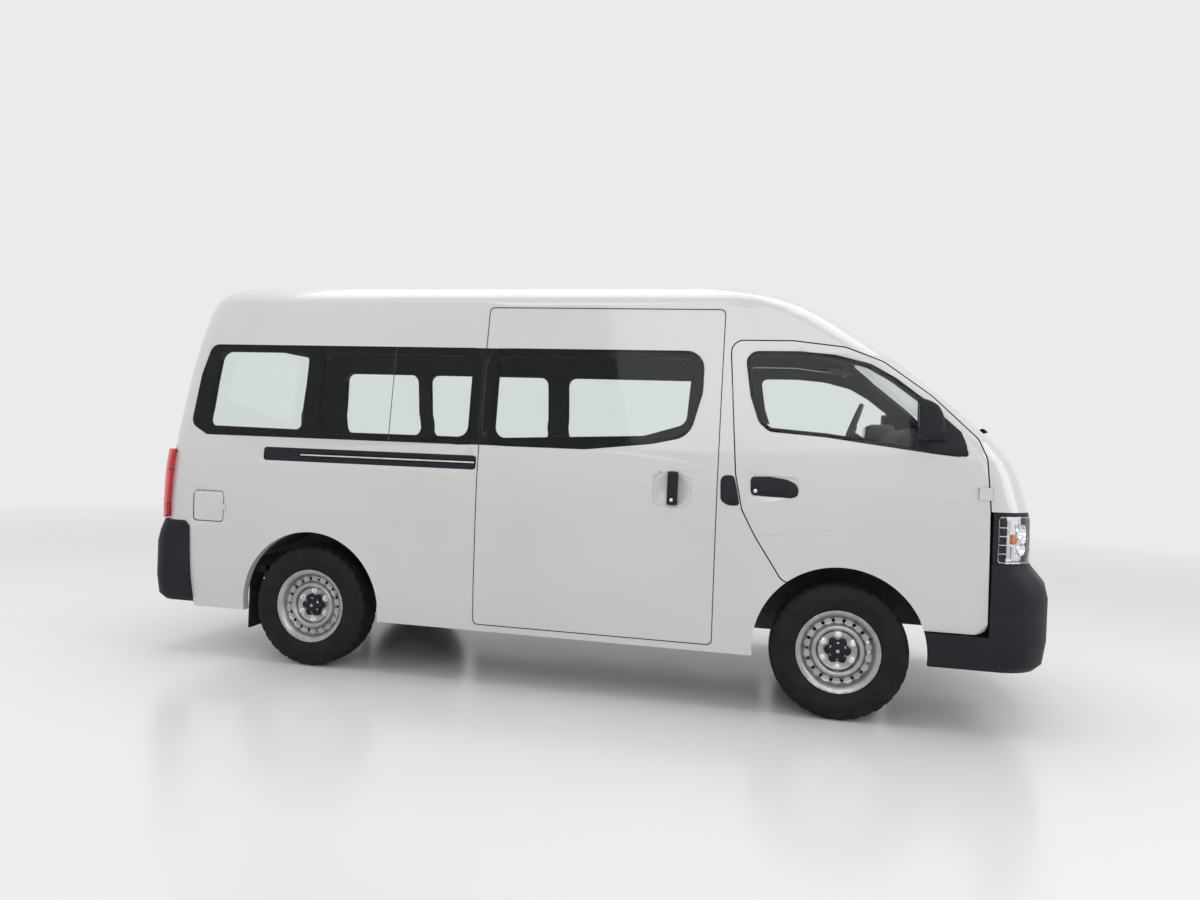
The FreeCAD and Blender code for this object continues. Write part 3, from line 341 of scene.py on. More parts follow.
mirrorGlass = finish("mirrorGlass", (0.82, 0.84, 0.86), 0.02, 1.0, grain=(3.0, 1.0, 0.02, 0.001))
# near-black for the sliding door seam: rubber seal and painted shade of the door gap
sealAndGapShade = grained("sealAndGapShade", (0.006, 0.006, 0.007), (0.012, 0.012, 0.013), 0.7, 0.0, 600.0)
plateWhite = grained("blankPlate", (0.62, 0.62, 0.60), (0.70, 0.70, 0.68), 0.4, 0.0, 900.0)
brightMetal = grained("brightMetal", (0.62, 0.63, 0.65), (0.80, 0.81, 0.82), 0.22, 1.0, 1200.0)
print("materials made:", len(bpy.data.materials))


# smooth skins over the CAD panels: a merged copy of each, shaded by angle

def merged(nodeName, pieceName):
    piece = newPiece(pieceName, nodes[nodeName].data.copy())
    pick(piece)
    bpy.ops.object.mode_set(mode="EDIT")
    bpy.ops.mesh.select_all(action="SELECT")
    bpy.ops.mesh.remove_doubles(threshold=2e-5)
    bpy.ops.object.mode_set(mode="OBJECT")
    return piece


def weighted(piece, degrees):
    smoothAt(piece, degrees)
    modifier = piece.modifiers.new("evenLight", "WEIGHTED_NORMAL")
    modifier.keep_sharp = True
    modifier.weight = 60
    applyModifiers(piece)


def sliceMesh(mesh, axis, place):
    spot, normal = [0, 0, 0], [0, 0, 0]
    spot[axis], normal[axis] = place, 1
    bmesh.ops.bisect_plane(mesh, geom=mesh.verts[:] + mesh.edges[:] + mesh.faces[:],
                           plane_co=spot, plane_no=normal)


# straight cuts through a piece, each at a place on one axis
def cutAt(piece, places):
    mesh = bmesh.new()
    mesh.from_mesh(piece.data)
    for axis, place in places:
        sliceMesh(mesh, axis, place)
    mesh.to_mesh(piece.data)
    mesh.free()


def keepFaces(piece, test):
    mesh = bmesh.new()
    mesh.from_mesh(piece.data)
    mesh.normal_update()
    doomed = [f for f in mesh.faces if not test(f.calc_center_median(), f.normal)]
    bmesh.ops.delete(mesh, geom=doomed, context="FACES")
    mesh.to_mesh(piece.data)
    mesh.free()


def skin(nodeName, degrees=28, extra=(), cuts=(), hollow=None):
    words = nodeName.split("_")
    piece = merged(nodeName, words[0] + "".join(w.capitalize() for w in words[1:]) + "Skin")
    cutAt(piece, cuts)
    if hollow:
        carved(piece, hollow)
    fitOut(piece, bodyOf[nodeName], slotOf[nodeName], finishes[slotOf[nodeName]], *extra)
    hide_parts(nodeName)
    weighted(piece, degrees)
    return piece


glassNodes = ["right_side_glass", "left_side_glass", "sliding_door_glass", "left_door_glass",
              "right_door_glass", "tailgate_glass"]
panelNodes = ["roof_panel", "right_side", "left_side", "front_frame", "sliding_door", "left_door",
              "right_door", "tailgate", "bonnet", "fuel_flap"]
plainNodes = ["front_bumper", "rear_bumper", "slide_rail", "wipers", "floor_pan", "frame_rails",
              "engine_block", "front_axle", "rear_axle", "exhaust", "fuel_tank", "mudflaps",
              "left_knuckle", "right_knuckle"]


def treeOf(names):
    vertices, faces = [], []
    for name in names:
        mesh = nodes[name].data
        start = len(vertices)
        vertices += [v.co.copy() for v in mesh.vertices]
        faces += [[start + i for i in polygon.vertices] for polygon in mesh.polygons]
    return BVHTree.FromPolygons(vertices, faces)


glassTree = treeOf(glassNodes + ["windscreen"])
outerTree = treeOf(panelNodes + glassNodes + ["windscreen", "grille", "front_bumper", "rear_bumper"])
spine = {"back": -2.0, "front": 1.5, "height": 1.15, "seat": 0.0016, "reveal": 0.075, "settle": 0.0014,
         "inner": -0.25, "edgeOn": 0.5, "behind": 0.004}


# 0 paint, 1 printed black behind the glass, 2 inner trim, 3 gloss black
def finishOfFace(centre, normal):
    heart = Vector((min(max(centre.x, spine["back"]), spine["front"]), 0, spine["height"]))
    facing = normal.dot((centre - heart).normalized())
    spot, _, _, distance = glassTree.find_nearest(centre, spine["reveal"])
    if spot is not None and distance < spine["seat"]:
        return 1
    if facing < spine["inner"]:
        return 2
    if spot is not None and facing < spine["edgeOn"]:
        if (spot - heart).length > (centre - heart).length + spine["behind"]:
            return 1
    return 0


# the round hollow behind the sliding door's grip is a ball taken out of the door
hollowSizes = {"place": (0.594, 1.123), "across": 0.093, "depth": 0.028, "surface": 0.8405}


def makeHollow():
    across, depth = hollowSizes["across"], hollowSizes["depth"]
    radius = (across ** 2 + depth ** 2) / (2 * depth)
    x, z = hollowSizes["place"]
    clearSelection()
    bpy.ops.mesh.primitive_uv_sphere_add(segments=128, ring_count=96, radius=radius,
                                         location=(x, -hollowSizes["surface"] - radius + depth, z))
    ball = bpy.context.object
    ball.name = "handleHollow"
    bakePlace(ball)
    return ball


handleHollow = makeHollow()
blackZone = {0: (-0.625, -0.335), 2: (1.3116, 1.8497)}  # an axis and the range along it
outerFace = 0.7


def inBlackZone(centre, normal):
    inside = all(low < centre[axis] < high for axis, (low, high) in blackZone.items())
    return inside and abs(normal.y) > outerFace and normal.y * centre.y > 0


def makePanels():
    zoneCuts = [(axis, place) for axis, span in blackZone.items() for place in span]
    for name in panelNodes:
        cuts = zoneCuts if name in ("right_side", "left_side", "sliding_door") else ()
        piece = skin(name, extra=(frit, innerTrim, glossBlack), cuts=cuts,
                     hollow=handleHollow if name == "sliding_door" else None)
        settle = {}
        for polygon in piece.data.polygons:
            polygon.material_index = finishOfFace(polygon.center, polygon.normal)
            if polygon.material_index != 1 and inBlackZone(polygon.center, polygon.normal):
                polygon.material_index = 3
            spot = glassTree.find_nearest(polygon.center, spine["seat"])[0]
            if spot is not None and polygon.normal.dot(spot - polygon.center) > 0:
                for index in polygon.vertices:
                    settle[index] = settle.get(index, Vector()) + polygon.normal
        # the bed under a pane draws back from the glass, so that the two never share a face
        for index, normal in settle.items():
            piece.data.vertices[index].co -= normal.normalized() * spine["settle"]
    print("body panels:", len(panelNodes))


def makePlainSkins():
    for name in glassNodes + ["windscreen"]:
        skin(name, 40)
    for name in plainNodes:
        skin(name, 32)
    print("glass and underbody skins:", len(glassNodes) + 1 + len(plainNodes))


# pieces laid on the body: an outline cut into a grid, thrown onto the surface and given a thickness

rays = {"right": (Vector((0, -3, 0)), Vector((0, 1, 0))), "left": (Vector((0, 3, 0)), Vector((0, -1, 0))),
        "front": (Vector((4, 0, 0)), Vector((-1, 0, 0))), "rear": (Vector((-4, 0, 0)), Vector((1, 0, 0)))}


def laidOn(name, outline, face, lift, thickness, grid, edge):
    origin, direction = rays[face]
    sideways = face in ("right", "left")
    corners = [(u, origin.y, v) if sideways else (origin.x, u, v) for u, v in outline]
    mesh = bmesh.new()
    mesh.faces.new([mesh.verts.new(c) for c in corners])
    for axis in (0 if sideways else 1, 2):
        low, high = min(c[axis] for c in corners), max(c[axis] for c in corners)
        cuts = int((high - low) / grid)
        for i in range(1, cuts + 1):
            sliceMesh(mesh, axis, low + (high - low) * i / (cuts + 1))
    for vertex in mesh.verts:
        hit = outerTree.ray_cast(vertex.co, direction)[0]
        if hit is None:
            hit = vertex.co.copy()
        vertex.co = hit - direction * lift
    mesh.normal_update()
    if sum(f.normal.dot(direction) * f.calc_area() for f in mesh.faces) > 0:
        bmesh.ops.reverse_faces(mesh, faces=mesh.faces[:])
    data = bpy.data.meshes.new(name)
    mesh.to_mesh(data)
    mesh.free()
    piece = newPiece(name, data)
    thickened(piece, thickness)
    bevelled(piece, edge, 2, 50)
    smoothAt(piece, 35)
    return piece


# an outline with its corners rounded by quadratic arcs
def rounded(points, radius, steps=5):
    soft = []
    for i, corner in enumerate(points):
        before, after = Vector(points[i - 1]), Vector(points[(i + 1) % len(points)])
        corner = Vector(corner)
        reachIn = min(radius, (before - corner).length * 0.48)
        reachOut = min(radius, (after - corner).length * 0.48)
        start = corner + (before - corner).normalized() * reachIn
        end = corner + (after - corner).normalized() * reachOut
        for k in range(steps + 1):
            t = k / steps
            soft.append(tuple(start.lerp(corner, t).lerp(corner.lerp(end, t), t)))
    return soft


# wheels: one modelled at the origin, then set at each hub

wheelSizes = {
    "track": 1.470, "radius": 0.345, "steps": 192, "pitch": 6,
    "nutCircle": 0.084, "nutCount": 6, "discFace": 0.0347,
    # washer, nut and stud: from and to along the axle, radius, sides, edge
    "nutParts": [(0.0, 0.004, 0.016875, 24, 0.001), (0.003, 0.016, 0.0125, 6, 0.0015),
                 (0.010, 0.023, 0.006, 16, 0.001)],
    "capLobes": 6, "capOuter": 0.067, "capInner": 0.050, "capSwell": 0.6, "capEdge": 0.002,
    "capLayers": [(1.0, 0.0), (1.0, 0.016), (0.70, 0.027), (0.62, 0.030)],  # share of the outline, height
    "valve": ((0.150, 0.044, 0.070), (0.158, 0.074, 0.075)), "valveRadius": 0.004,
}
grooveSizes = {"places": (-0.042, -0.0145, 0.0145, 0.042), "width": 0.0075, "depth": 0.008, "floor": 0.6,
               "ribs": (0.028, 0.056), "edgeInset": 0.004, "crown": 0.0035, "half": 0.071, "from": 0.325,
               "skew": 20, "lug": 0.0065, "lugSpan": (0.050, 0.090), "lugSteps": (0, 1),
               "sipe": 0.0030, "sipeSpan": 0.034, "sipeStep": 3, "sipeFloor": 0.004}


def treadRadius(y):
    return wheelSizes["radius"] - grooveSizes["crown"] * (y / grooveSizes["half"]) ** 2


def tyreProfile():
    wall = [(0.0690, 0.1950), (0.0752, 0.2100), (0.0830, 0.2125), (0.0865, 0.2180), (0.0880, 0.2250),
            (0.0935, 0.2400), (0.0975, 0.2580), (0.0985, 0.2750), (0.0968, 0.2900), (0.0955, 0.2930),
            (0.0950, 0.2960), (0.0925, 0.3100), (0.0880, 0.3220), (0.0850, 0.3290), (0.0790, 0.3370),
            (0.0740, 0.3402)]
    tread = []
    half, floor = grooveSizes["width"] / 2, grooveSizes["floor"]
    for place in grooveSizes["places"]:
        for shift, drop in ((-half, 0), (-half * floor, 1), (half * floor, 1), (half, 0)):
            tread.append((place + shift, treadRadius(place + shift) - drop * grooveSizes["depth"]))
    edge = grooveSizes["half"] - grooveSizes["edgeInset"]
    ribs = [0.0] + [way * y for y in (*grooveSizes["ribs"], edge) for way in (-1, 1)]
    tread += [(y, treadRadius(y)) for y in ribs]
    return [(-y, r) for y, r in wall] + sorted(tread) + [(y, r) for y, r in reversed(wall)]


def treadDrop(y, radius, station):
    near, far = grooveSizes["lugSpan"]
    if near < abs(y) < far and station in grooveSizes["lugSteps"]:
        return grooveSizes["lug"]
    onTop = radius > wheelSizes["radius"] - grooveSizes["sipeFloor"]
    if abs(y) < grooveSizes["sipeSpan"] and station == grooveSizes["sipeStep"] and onTop:
        return grooveSizes["sipe"]
    return 0.0


def makeTyre():
    tyre = spun("tyreModel", tyreProfile(), wheelSizes["steps"])
    step = 2 * math.pi / wheelSizes["steps"]
    for vertex in tyre.data.vertices:
        y, radius = vertex.co.y, math.hypot(vertex.co.x, vertex.co.z)
        if radius < grooveSizes["from"]:
            continue
        turn = math.atan2(vertex.co.x, vertex.co.z) / step + grooveSizes["skew"] * y
        drop = treadDrop(y, radius, round(turn) % wheelSizes["pitch"])
        if drop:
            vertex.co.x *= 1 - drop / radius
            vertex.co.z *= 1 - drop / radius
    smoothAt(tyre, 32)
    wear(tyre, finishes["tyre_rubber"])
    return tyre


def makeNutRing():
    nuts = []
    face, reach = wheelSizes["discFace"], wheelSizes["nutCircle"]
    for i in range(wheelSizes["nutCount"]):
        angle = 2 * math.pi * (i + 0.5) / wheelSizes["nutCount"]
        x, z = reach * math.cos(angle), reach * math.sin(angle)
        for start, end, radius, sides, edge in wheelSizes["nutParts"]:
            nuts.append(roundBar("wheelNut", (x, face + start, z), (x, face + end, z), radius, sides, edge))
    nutRing = joined("nutRingModel", nuts)
    wear(nutRing, brightMetal)
    return nutRing


def makeHubCap():
    lobes, inner, outer = wheelSizes["capLobes"], wheelSizes["capInner"], wheelSizes["capOuter"]
    sides = lobes * 8
    ring = []
    for i in range(sides):
        angle = 2 * math.pi * i / sides
        reach = inner + (outer - inner) * (0.5 + 0.5 * math.cos(lobes * angle)) ** wheelSizes["capSwell"]
        ring.append((reach * math.cos(angle), reach * math.sin(angle)))
    layers = wheelSizes["capLayers"]
    face = wheelSizes["discFace"]
    vertices = [(x * share, face + rise, z * share) for share, rise in layers for x, z in ring]
    last = (len(layers) - 1) * sides
    faces = [list(range(sides)), [last + i for i in reversed(range(sides))]]
    for layer in range(len(layers) - 1):
        for i in range(sides):
            a, b = layer * sides + i, layer * sides + (i + 1) % sides
            faces.append([a, b, b + sides, a + sides])
    cap = meshObject("hubCapModel", vertices, faces)
    facesOut(cap)
    bevelled(cap, wheelSizes["capEdge"])
    wear(cap, finishes["dark_plastic"])
    return cap


def setCopy(model, name, move, turn, body, slot):
    piece = newPiece(name, model.data.copy())
    piece.data.name = name
    piece.data.transform(Matrix.Translation(move) @ Matrix.Rotation(turn, 4, "Z"))
    piece.data.update()
    return fitOut(piece, body, slot)


def makeWheels():
    tyre, nutRing, cap = makeTyre(), makeNutRing(), makeHubCap()
    for end in ("front", "rear"):
        for side, sign in (("left", 1), ("right", -1)):
            low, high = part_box(f"{end}_{side}_rim")
            centre = (low + high) / 2
            centre.y = sign * wheelSizes["track"] / 2
            body = f"{end}_{side}_wheel"
            label = end + side.capitalize()
            turn = 0.0 if sign > 0 else math.pi
            rubber = setCopy(tyre, label + "Tyre", centre, turn, body, "tyre_rubber")
            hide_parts(f"{end}_{side}_tyre")
            setCopy(nutRing, label + "Nuts", centre, turn, body, "wheel_steel")
            setCopy(cap, label + "HubCap", centre, turn, body, "dark_plastic")
            skin(f"{end}_{side}_rim", 35)
            foot, tip = (centre + Vector((x, sign * y, z)) for x, y, z in wheelSizes["valve"])
            valve = roundBar(label + "Valve", foot, tip, wheelSizes["valveRadius"], 12, 0.001)
            dressed(valve, body, "dark_plastic")
    for model in (tyre, nutRing, cap):
        bpy.data.objects.remove(model)
    print("wheels: 4")


# fittings laid on the doors and sides: outline (x, z), corner radius, then lift, thickness, grid and edge

layouts = {
    "HandleBase": {"outline": [(1.004, 1.205), (1.090, 1.209), (1.175, 1.199), (1.222, 1.178), (1.237, 1.150),
                               (1.232, 1.116), (1.205, 1.106), (1.100, 1.108), (1.010, 1.112), (0.998, 1.130),
                               (0.996, 1.190)], "corner": 0.012, "lay": (0.004, 0.008, 0.03, 0.002)},
    "HandlePull": {"outline": [(1.040, 1.190), (1.150, 1.184), (1.178, 1.172), (1.178, 1.128),
                               (1.040, 1.130)], "corner": 0.02, "lay": (0.0075, 0.006, 0.02, 0.0028)},
    "SailPanel": {"outline": [(1.796, 1.652), (1.996, 1.468), (2.040, 1.346), (1.868, 1.362), (1.796, 1.372)],
                  "corner": 0.03, "lay": (0.003, 0.004, 0.05, 0.0012)},
    "PillarPatch": {"outline": [(0.862, 1.208), (0.912, 1.208), (0.929, 1.140), (0.946, 1.056),
                                (0.890, 1.052), (0.848, 1.075), (0.843, 1.185)], "corner": 0.02,
                    "lay": (0.003, 0.004, 0.03, 0.0012), "body": "root"},
}
lockSizes = {"place": (1.022, 1.134), "radius": 0.010, "proud": 0.0062, "edge": 0.0015}
# painted shade: a dark plate behind each door's lower front corner, standing in for the shade in the gap
# there
footShadeSizes = {"x": (2.085, 2.160), "y": (0.784, 0.790), "z": (0.470, 0.545), "edge": 0.002}
doorSides = (("left", 1, "left_door_body"), ("right", -1, "right_door_body"))


def surfaceAt(x, z, side):
    origin, direction = rays["right" if side < 0 else "left"]
    return outerTree.ray_cast(Vector((x, origin.y, z)), direction)[0]


def makeHandles():
    for label, side, doorBody in doorSides:
        for name, row in layouts.items():
            piece = laidOn(label + name, rounded(row["outline"], row["corner"]), label, *row["lay"])
            dressed(piece, row.get("body", doorBody), "dark_plastic")
        spot = surfaceAt(*lockSizes["place"], side)
        lock = roundBar(label + "DoorLock", spot, spot + Vector((0, side * lockSizes["proud"], 0)),
                        lockSizes["radius"], 24, lockSizes["edge"])
        fitOut(lock, doorBody, "dark_plastic", brightMetal)
        low, high = zip(footShadeSizes["x"], sorted(side * y for y in footShadeSizes["y"]), footShadeSizes["z"])
        # a dark plate as painted shade in the gap behind the door's lower front corner
        dressed(roundedBox(label + "DoorFootShade", low, high, footShadeSizes["edge"]), "root", "dark_plastic")
    print("handles and pillar patches laid on")


mirrorSizes = {"low": (1.782, 0.876, 1.418), "high": (1.896, 1.000, 1.620), "glassInset": 0.010,
               "glassRim": 0.002, "glassDepth": 0.008, "taperUp": 0.34, "taperOut": 0.22, "dish": 0.018,
               "slant": 0.020, "shift": 0.010, "glassFace": -0.9,
               "arm": ((1.885, 0.792, 1.452), (1.842, 0.905, 1.470)), "armRadius": 0.019, "armEdge": 0.006,
               "foot": ((1.846, 0.790, 1.418), (1.930, 0.846, 1.482)), "footEdge": 0.014}


# the shell narrows forwards, away from its glass, and its rear face bows and slants
def makeMirrorShell(name):
    low, high = Vector(mirrorSizes["low"]), Vector(mirrorSizes["high"])
    middle, span = (low + high) / 2, high - low
    clearSelection()
    bpy.ops.mesh.primitive_cube_add(size=1, location=middle)
    shell = bpy.context.object
    shell.name = name
    shell.scale = span
    bakePlace(shell)
    bpy.ops.object.mode_set(mode="EDIT")
    bpy.ops.mesh.select_all(action="SELECT")
    bpy.ops.mesh.subdivide(number_cuts=3)
    bpy.ops.object.mode_set(mode="OBJECT")
    for vertex in shell.data.vertices:
        across = (vertex.co.x - low.x) / span.x
        up = (vertex.co.z - low.z) / span.z
        vertex.co.z = middle.z + (vertex.co.z - middle.z) * (1 - mirrorSizes["taperUp"] * across ** 2)
        vertex.co.y = middle.y + (vertex.co.y - middle.y) * (1 - mirrorSizes["taperOut"] * across ** 2)
        bow = mirrorSizes["dish"] * (2 * up - 1) ** 2 * across
        vertex.co.x = max(vertex.co.x - (bow + mirrorSizes["slant"] * up - mirrorSizes["shift"]), low.x)
    bpy.ops.object.mode_set(mode="EDIT")
    bpy.ops.mesh.select_mode(type="FACE")
    bpy.ops.object.mode_set(mode="OBJECT")
    for polygon in shell.data.polygons:
        polygon.select = polygon.normal.x < mirrorSizes["glassFace"]
    bpy.ops.object.mode_set(mode="EDIT")
    bpy.ops.mesh.inset(thickness=mirrorSizes["glassInset"], depth=0)
    bpy.ops.mesh.inset(thickness=mirrorSizes["glassRim"], depth=-mirrorSizes["glassDepth"])
    bpy.ops.object.mode_set(mode="OBJECT")
    wear(shell, finishes["dark_plastic"], mirrorGlass)
    for polygon in shell.data.polygons:
        polygon.material_index = 1 if polygon.select else 0
    rounding = shell.modifiers.new("rounding", "SUBSURF")
    rounding.levels = rounding.render_levels = 2
    applyModifiers(shell)
    smoothAt(shell, 50)
    return shell


def makeMirrors():
    for label, side, body in doorSides:
        arm = roundBar(label + "MirrorArm", *mirrorSizes["arm"], mirrorSizes["armRadius"], 20,
                       mirrorSizes["armEdge"])
        foot = roundedBox(label + "MirrorFoot", *mirrorSizes["foot"], mirrorSizes["footEdge"])
        for part in (arm, foot):
            wear(part, finishes["dark_plastic"], mirrorGlass)
        mirror = joined(label + "Mirror", [makeMirrorShell(label + "MirrorShell"), arm, foot])
        if side < 0:
            for vertex in mirror.data.vertices:
                vertex.co.y *= -1
            mirror.data.flip_normals()
        fitOut(mirror, body, "dark_plastic")
        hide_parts(label + "_door_fittings")
    print("mirrors made")


slideSizes = {
    "plate": 0.8430, "grip": (0.570, 0.626, 1.040, 1.212), "gripProud": 0.015, "gripFoot": 0.002,
    "gripEdge": 0.007, "endInset": 0.006, "endProud": 0.004, "endSunk": 0.0180, "endTall": 0.028,
    "endEdge": 0.003, "endDrops": (0.004, -0.032), "lockUp": 0.026, "lockSpan": (-0.0165, -0.010),
    "lockRadius": 0.009, "strip": ((-1.560, -0.8430, 1.2100), (-0.500, -0.8370, 1.2180)), "stripEdge": 0.0012,
    "cap": [(-1.795, 1.178), (-1.600, 1.178), (-1.585, 1.214), (-1.600, 1.249), (-1.795, 1.249)],
}


def makeSlidingHandle():
    dish = merged("sliding_door_handle", "slidingHandleDish")
    keepFaces(dish, lambda centre, normal: centre.y > -slideSizes["plate"])
    carved(dish, handleHollow)
    smoothAt(dish, 30)
    dressed(dish, "root", "body_paint")
    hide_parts("sliding_door_handle")
    bpy.data.objects.remove(handleHollow)
    x, z = hollowSizes["place"]
    x0, x1, z0, z1 = slideSizes["grip"]
    y = surfaceAt(x, z, -1).y
    bar = roundedBox("slidingHandleGrip", (x0, y - slideSizes["gripProud"], z0),
                     (x1, y - slideSizes["gripFoot"], z1), slideSizes["gripEdge"])
    inset, tall = slideSizes["endInset"], slideSizes["endTall"]
    ends = [roundedBox("slidingHandleEnd", (x0 + inset, y - slideSizes["endProud"], z),
                       (x1 - inset, y + slideSizes["endSunk"], z + tall), slideSizes["endEdge"])
            for z in (z0 + slideSizes["endDrops"][0], z1 + slideSizes["endDrops"][1])]
    outer, inner = ((x, y + shift, z0 + slideSizes["lockUp"]) for shift in slideSizes["lockSpan"])
    lock = roundBar("slidingLock", outer, inner, slideSizes["lockRadius"], 24, 0.0015)
    dressed(joined("slidingHandleGrip", [bar] + ends), "root", "dark_plastic")
    fitOut(lock, "root", "dark_plastic", brightMetal)
    strip = roundedBox("railStrip", *slideSizes["strip"], slideSizes["stripEdge"])
    fitOut(strip, "root", "dark_plastic", brightMetal)
    cap = laidOn("railCap", rounded(slideSizes["cap"], 0.02), "right", 0.0016, 0.003, 0.05, 0.0008)
    fitOut(cap, "root", "dark_plastic", finishes["rubber_flap"])
    print("sliding door handle and rail strip made")


# thin dark seams, laid along an outline on a side of the body; the sliding door's seam is dark partly for its
# rubber seal and partly as painted shade of the door gap
seamSizes = {"step": 0.03, "reach": 0.007, "width": 0.0042, "lift": 0.0004, "thickness": 0.0015,
             "door": [(-0.4804, 0.3268), (0.8279, 0.3268), (0.8279, 2.0748), (-0.4804, 2.0816)],
             "split": [(-1.0200, 1.3140), (-1.0200, 1.8470)]}


def seamLine(name, points, side, closed, material):
    spots = []
    count = len(points)
    for i in range(count if closed else count - 1):
        start, end = Vector(points[i]), Vector(points[(i + 1) % count])
        pieces = max(1, math.ceil((end - start).length / seamSizes["step"]))
        spots += [start.lerp(end, k / pieces) for k in range(pieces)]
    if not closed:
        spots.append(Vector(points[-1]))
    total = len(spots)
    rows = []
    for i, spot in enumerate(spots):
        before = spots[i - 1] if closed or i else spot
        after = spots[(i + 1) % total] if closed or i < total - 1 else spot
        along = (after - before).normalized()
        across = Vector((-along.y, along.x))
        depths = []
        for way in (-1, 1):
            probe = spot + across * (way * seamSizes["reach"])
            hit = surfaceAt(probe.x, probe.y, side)
            if hit is not None:
                depths.append(abs(hit.y))
        depth = side * (max(depths) + seamSizes["lift"])
        rows.append([(spot.x + across.x * w, depth, spot.y + across.y * w)
                     for w in (-seamSizes["width"] / 2, seamSizes["width"] / 2)])
    vertices = [corner for row in rows for corner in row]
    faces = [(2 * i, 2 * i + 1, 2 * ((i + 1) % total) + 1, 2 * ((i + 1) % total))
             for i in range(total if closed else total - 1)]
    piece = meshObject(name, vertices, faces)
    thickened(piece, seamSizes["thickness"], 0)
    fitOut(piece, "root", "dark_plastic", material)


def makeSeams():
    # the door seam's dark strip: partly rubber seal, partly painted shade in the gap
    seamLine("slidingDoorSeam", rounded(seamSizes["door"], 0.03), -1, True, sealAndGapShade)
    for label, side in (("left", 1), ("right", -1)):
        seamLine(label + "PaneSplit", seamSizes["split"], side, False, finishes["dash_plastic"])
    print("seams laid")


# blank plates, the tailgate's grip and the high stop lamp: outlines across the vehicle, laid on like the rest
endSizes = {
    "frontPlate": {"outline": [(-0.170, 0.575), (0.170, 0.575), (0.170, 0.685), (-0.170, 0.685)],
                   "corner": 0.008, "face": "front", "lay": (0.004, 0.002, 0.06, 0.0006),
                   "body": "root", "slot": "dark_plastic", "finish": plateWhite},
    "rearPlate": {"outline": [(-0.170, 0.870), (0.170, 0.870), (0.170, 0.980), (-0.170, 0.980)],
                  "corner": 0.008, "face": "rear", "lay": (0.004, 0.002, 0.06, 0.0006),
                  "body": "tailgate_body", "slot": "dark_plastic", "finish": plateWhite},
    "tailgateGrip": {"outline": [(-0.340, 1.030), (0.340, 1.030), (0.330, 1.095), (-0.330, 1.095)],
                     "corner": 0.02, "face": "rear", "lay": (0.012, 0.010, 0.05, 0.003),
                     "body": "tailgate_body", "slot": "dark_plastic", "finish": finishes["dark_plastic"]},
    "highStopLamp": {"outline": [(-0.150, 1.985), (0.150, 1.985), (0.150, 2.010), (-0.150, 2.010)],
                     "corner": 0.008, "face": "rear", "lay": (0.005, 0.004, 0.05, 0.0015),
                     "body": "tailgate_body", "slot": "red_lens", "finish": finishes["red_lens"]},
}


def makeEnds():
    for name, row in endSizes.items():
        piece = laidOn(name, rounded(row["outline"], row["corner"]), row["face"], *row["lay"])
        fitOut(piece, row["body"], row["slot"], row["finish"])
    print("plates, grip and stop lamp made")


# headlamps: a clear outer lens over a reflector with two bowls and an amber lamp

lampSizes = {
    "lens": 0.003, "back": 0.002, "backDepth": 0.044, "darkTo": 2.225, "heart": 1.6, "outside": 0.35,
    "facets": (0.86, 0.03, 7),  # lowest, pitch, count
    "lights": [(2.238, 0.866, 1.048, 0.010), (2.262, 0.866, 0.925, 0.009)], "lightDepth": 0.020,
    "slats": (0.888, 0.930, 0.972, 1.014), "slatEnds": ((2.190, 0.012), (2.238, 0.016)), "thin": 0.0022,
    "frame": [((2.183, 0.846), (2.183, 1.064)), ((2.183, 1.064), (2.330, 1.064)),
              ((2.183, 0.846), (2.330, 0.846))], "frameDepth": 0.007, "frameSteps": 4,
    "amber": (2.272, 0.956), "amberDepths": (0.042, 0.016), "amberRadius": 0.024,
    "bowls": [(2.335, 0.985, 0.64), (2.335, 0.905, 0.496), (2.372, 0.950, 0.576)], "bowlDepth": 0.040,
    "bowl": [(-0.045, 0.010), (-0.032, 0.030), (-0.012, 0.047), (0.010, 0.056), (0.012, 0.059),
             (0.008, 0.059), (-0.016, 0.050), (-0.038, 0.032), (-0.050, 0.010)],
    "bulb": ((0, -0.040, 0), (0, -0.004, 0)), "bulbRadius": 0.008, "aimFrom": 1.75, "aimOut": 0.75,
}
lampTree = treeOf(["headlamps"])


def lampHeart(z):
    return Vector((lampSizes["heart"], 0, z))


def makeHeadlamps():
    lens = merged("headlamps", "headlampLenses")
    keepFaces(lens, lambda centre, normal:
              normal.dot((centre - lampHeart(centre.z)).normalized()) > lampSizes["outside"])
    back = newPiece("headlampReflectors", lens.data.copy())
    thickened(lens, lampSizes["lens"])
    smoothAt(lens, 40)
    dressed(lens, "root", "lamp_lens")
    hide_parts("headlamps")
    for vertex in back.data.vertices:
        vertex.co -= (vertex.co - lampHeart(vertex.co.z)).normalized() * lampSizes["backDepth"]
    lowest, pitch, count = lampSizes["facets"]
    cutAt(back, [(0, lampSizes["darkTo"])] + [(2, lowest + pitch * i) for i in range(count)])
    thickened(back, lampSizes["back"])
    smoothAt(back, 30)
    wear(back, reflector, finishes["dark_plastic"])
    for polygon in back.data.polygons:
        polygon.material_index = 1 if polygon.center.x < lampSizes["darkTo"] else 0
    fitOut(back, "root", "lamp_lens")
    makeLampInsides()


def lampSpot(x, z, side, depth):
    hit = lampTree.ray_cast(Vector((x, side * 3, z)), Vector((0, -side, 0)))[0]
    return hit + (lampHeart(z) - hit).normalized() * depth


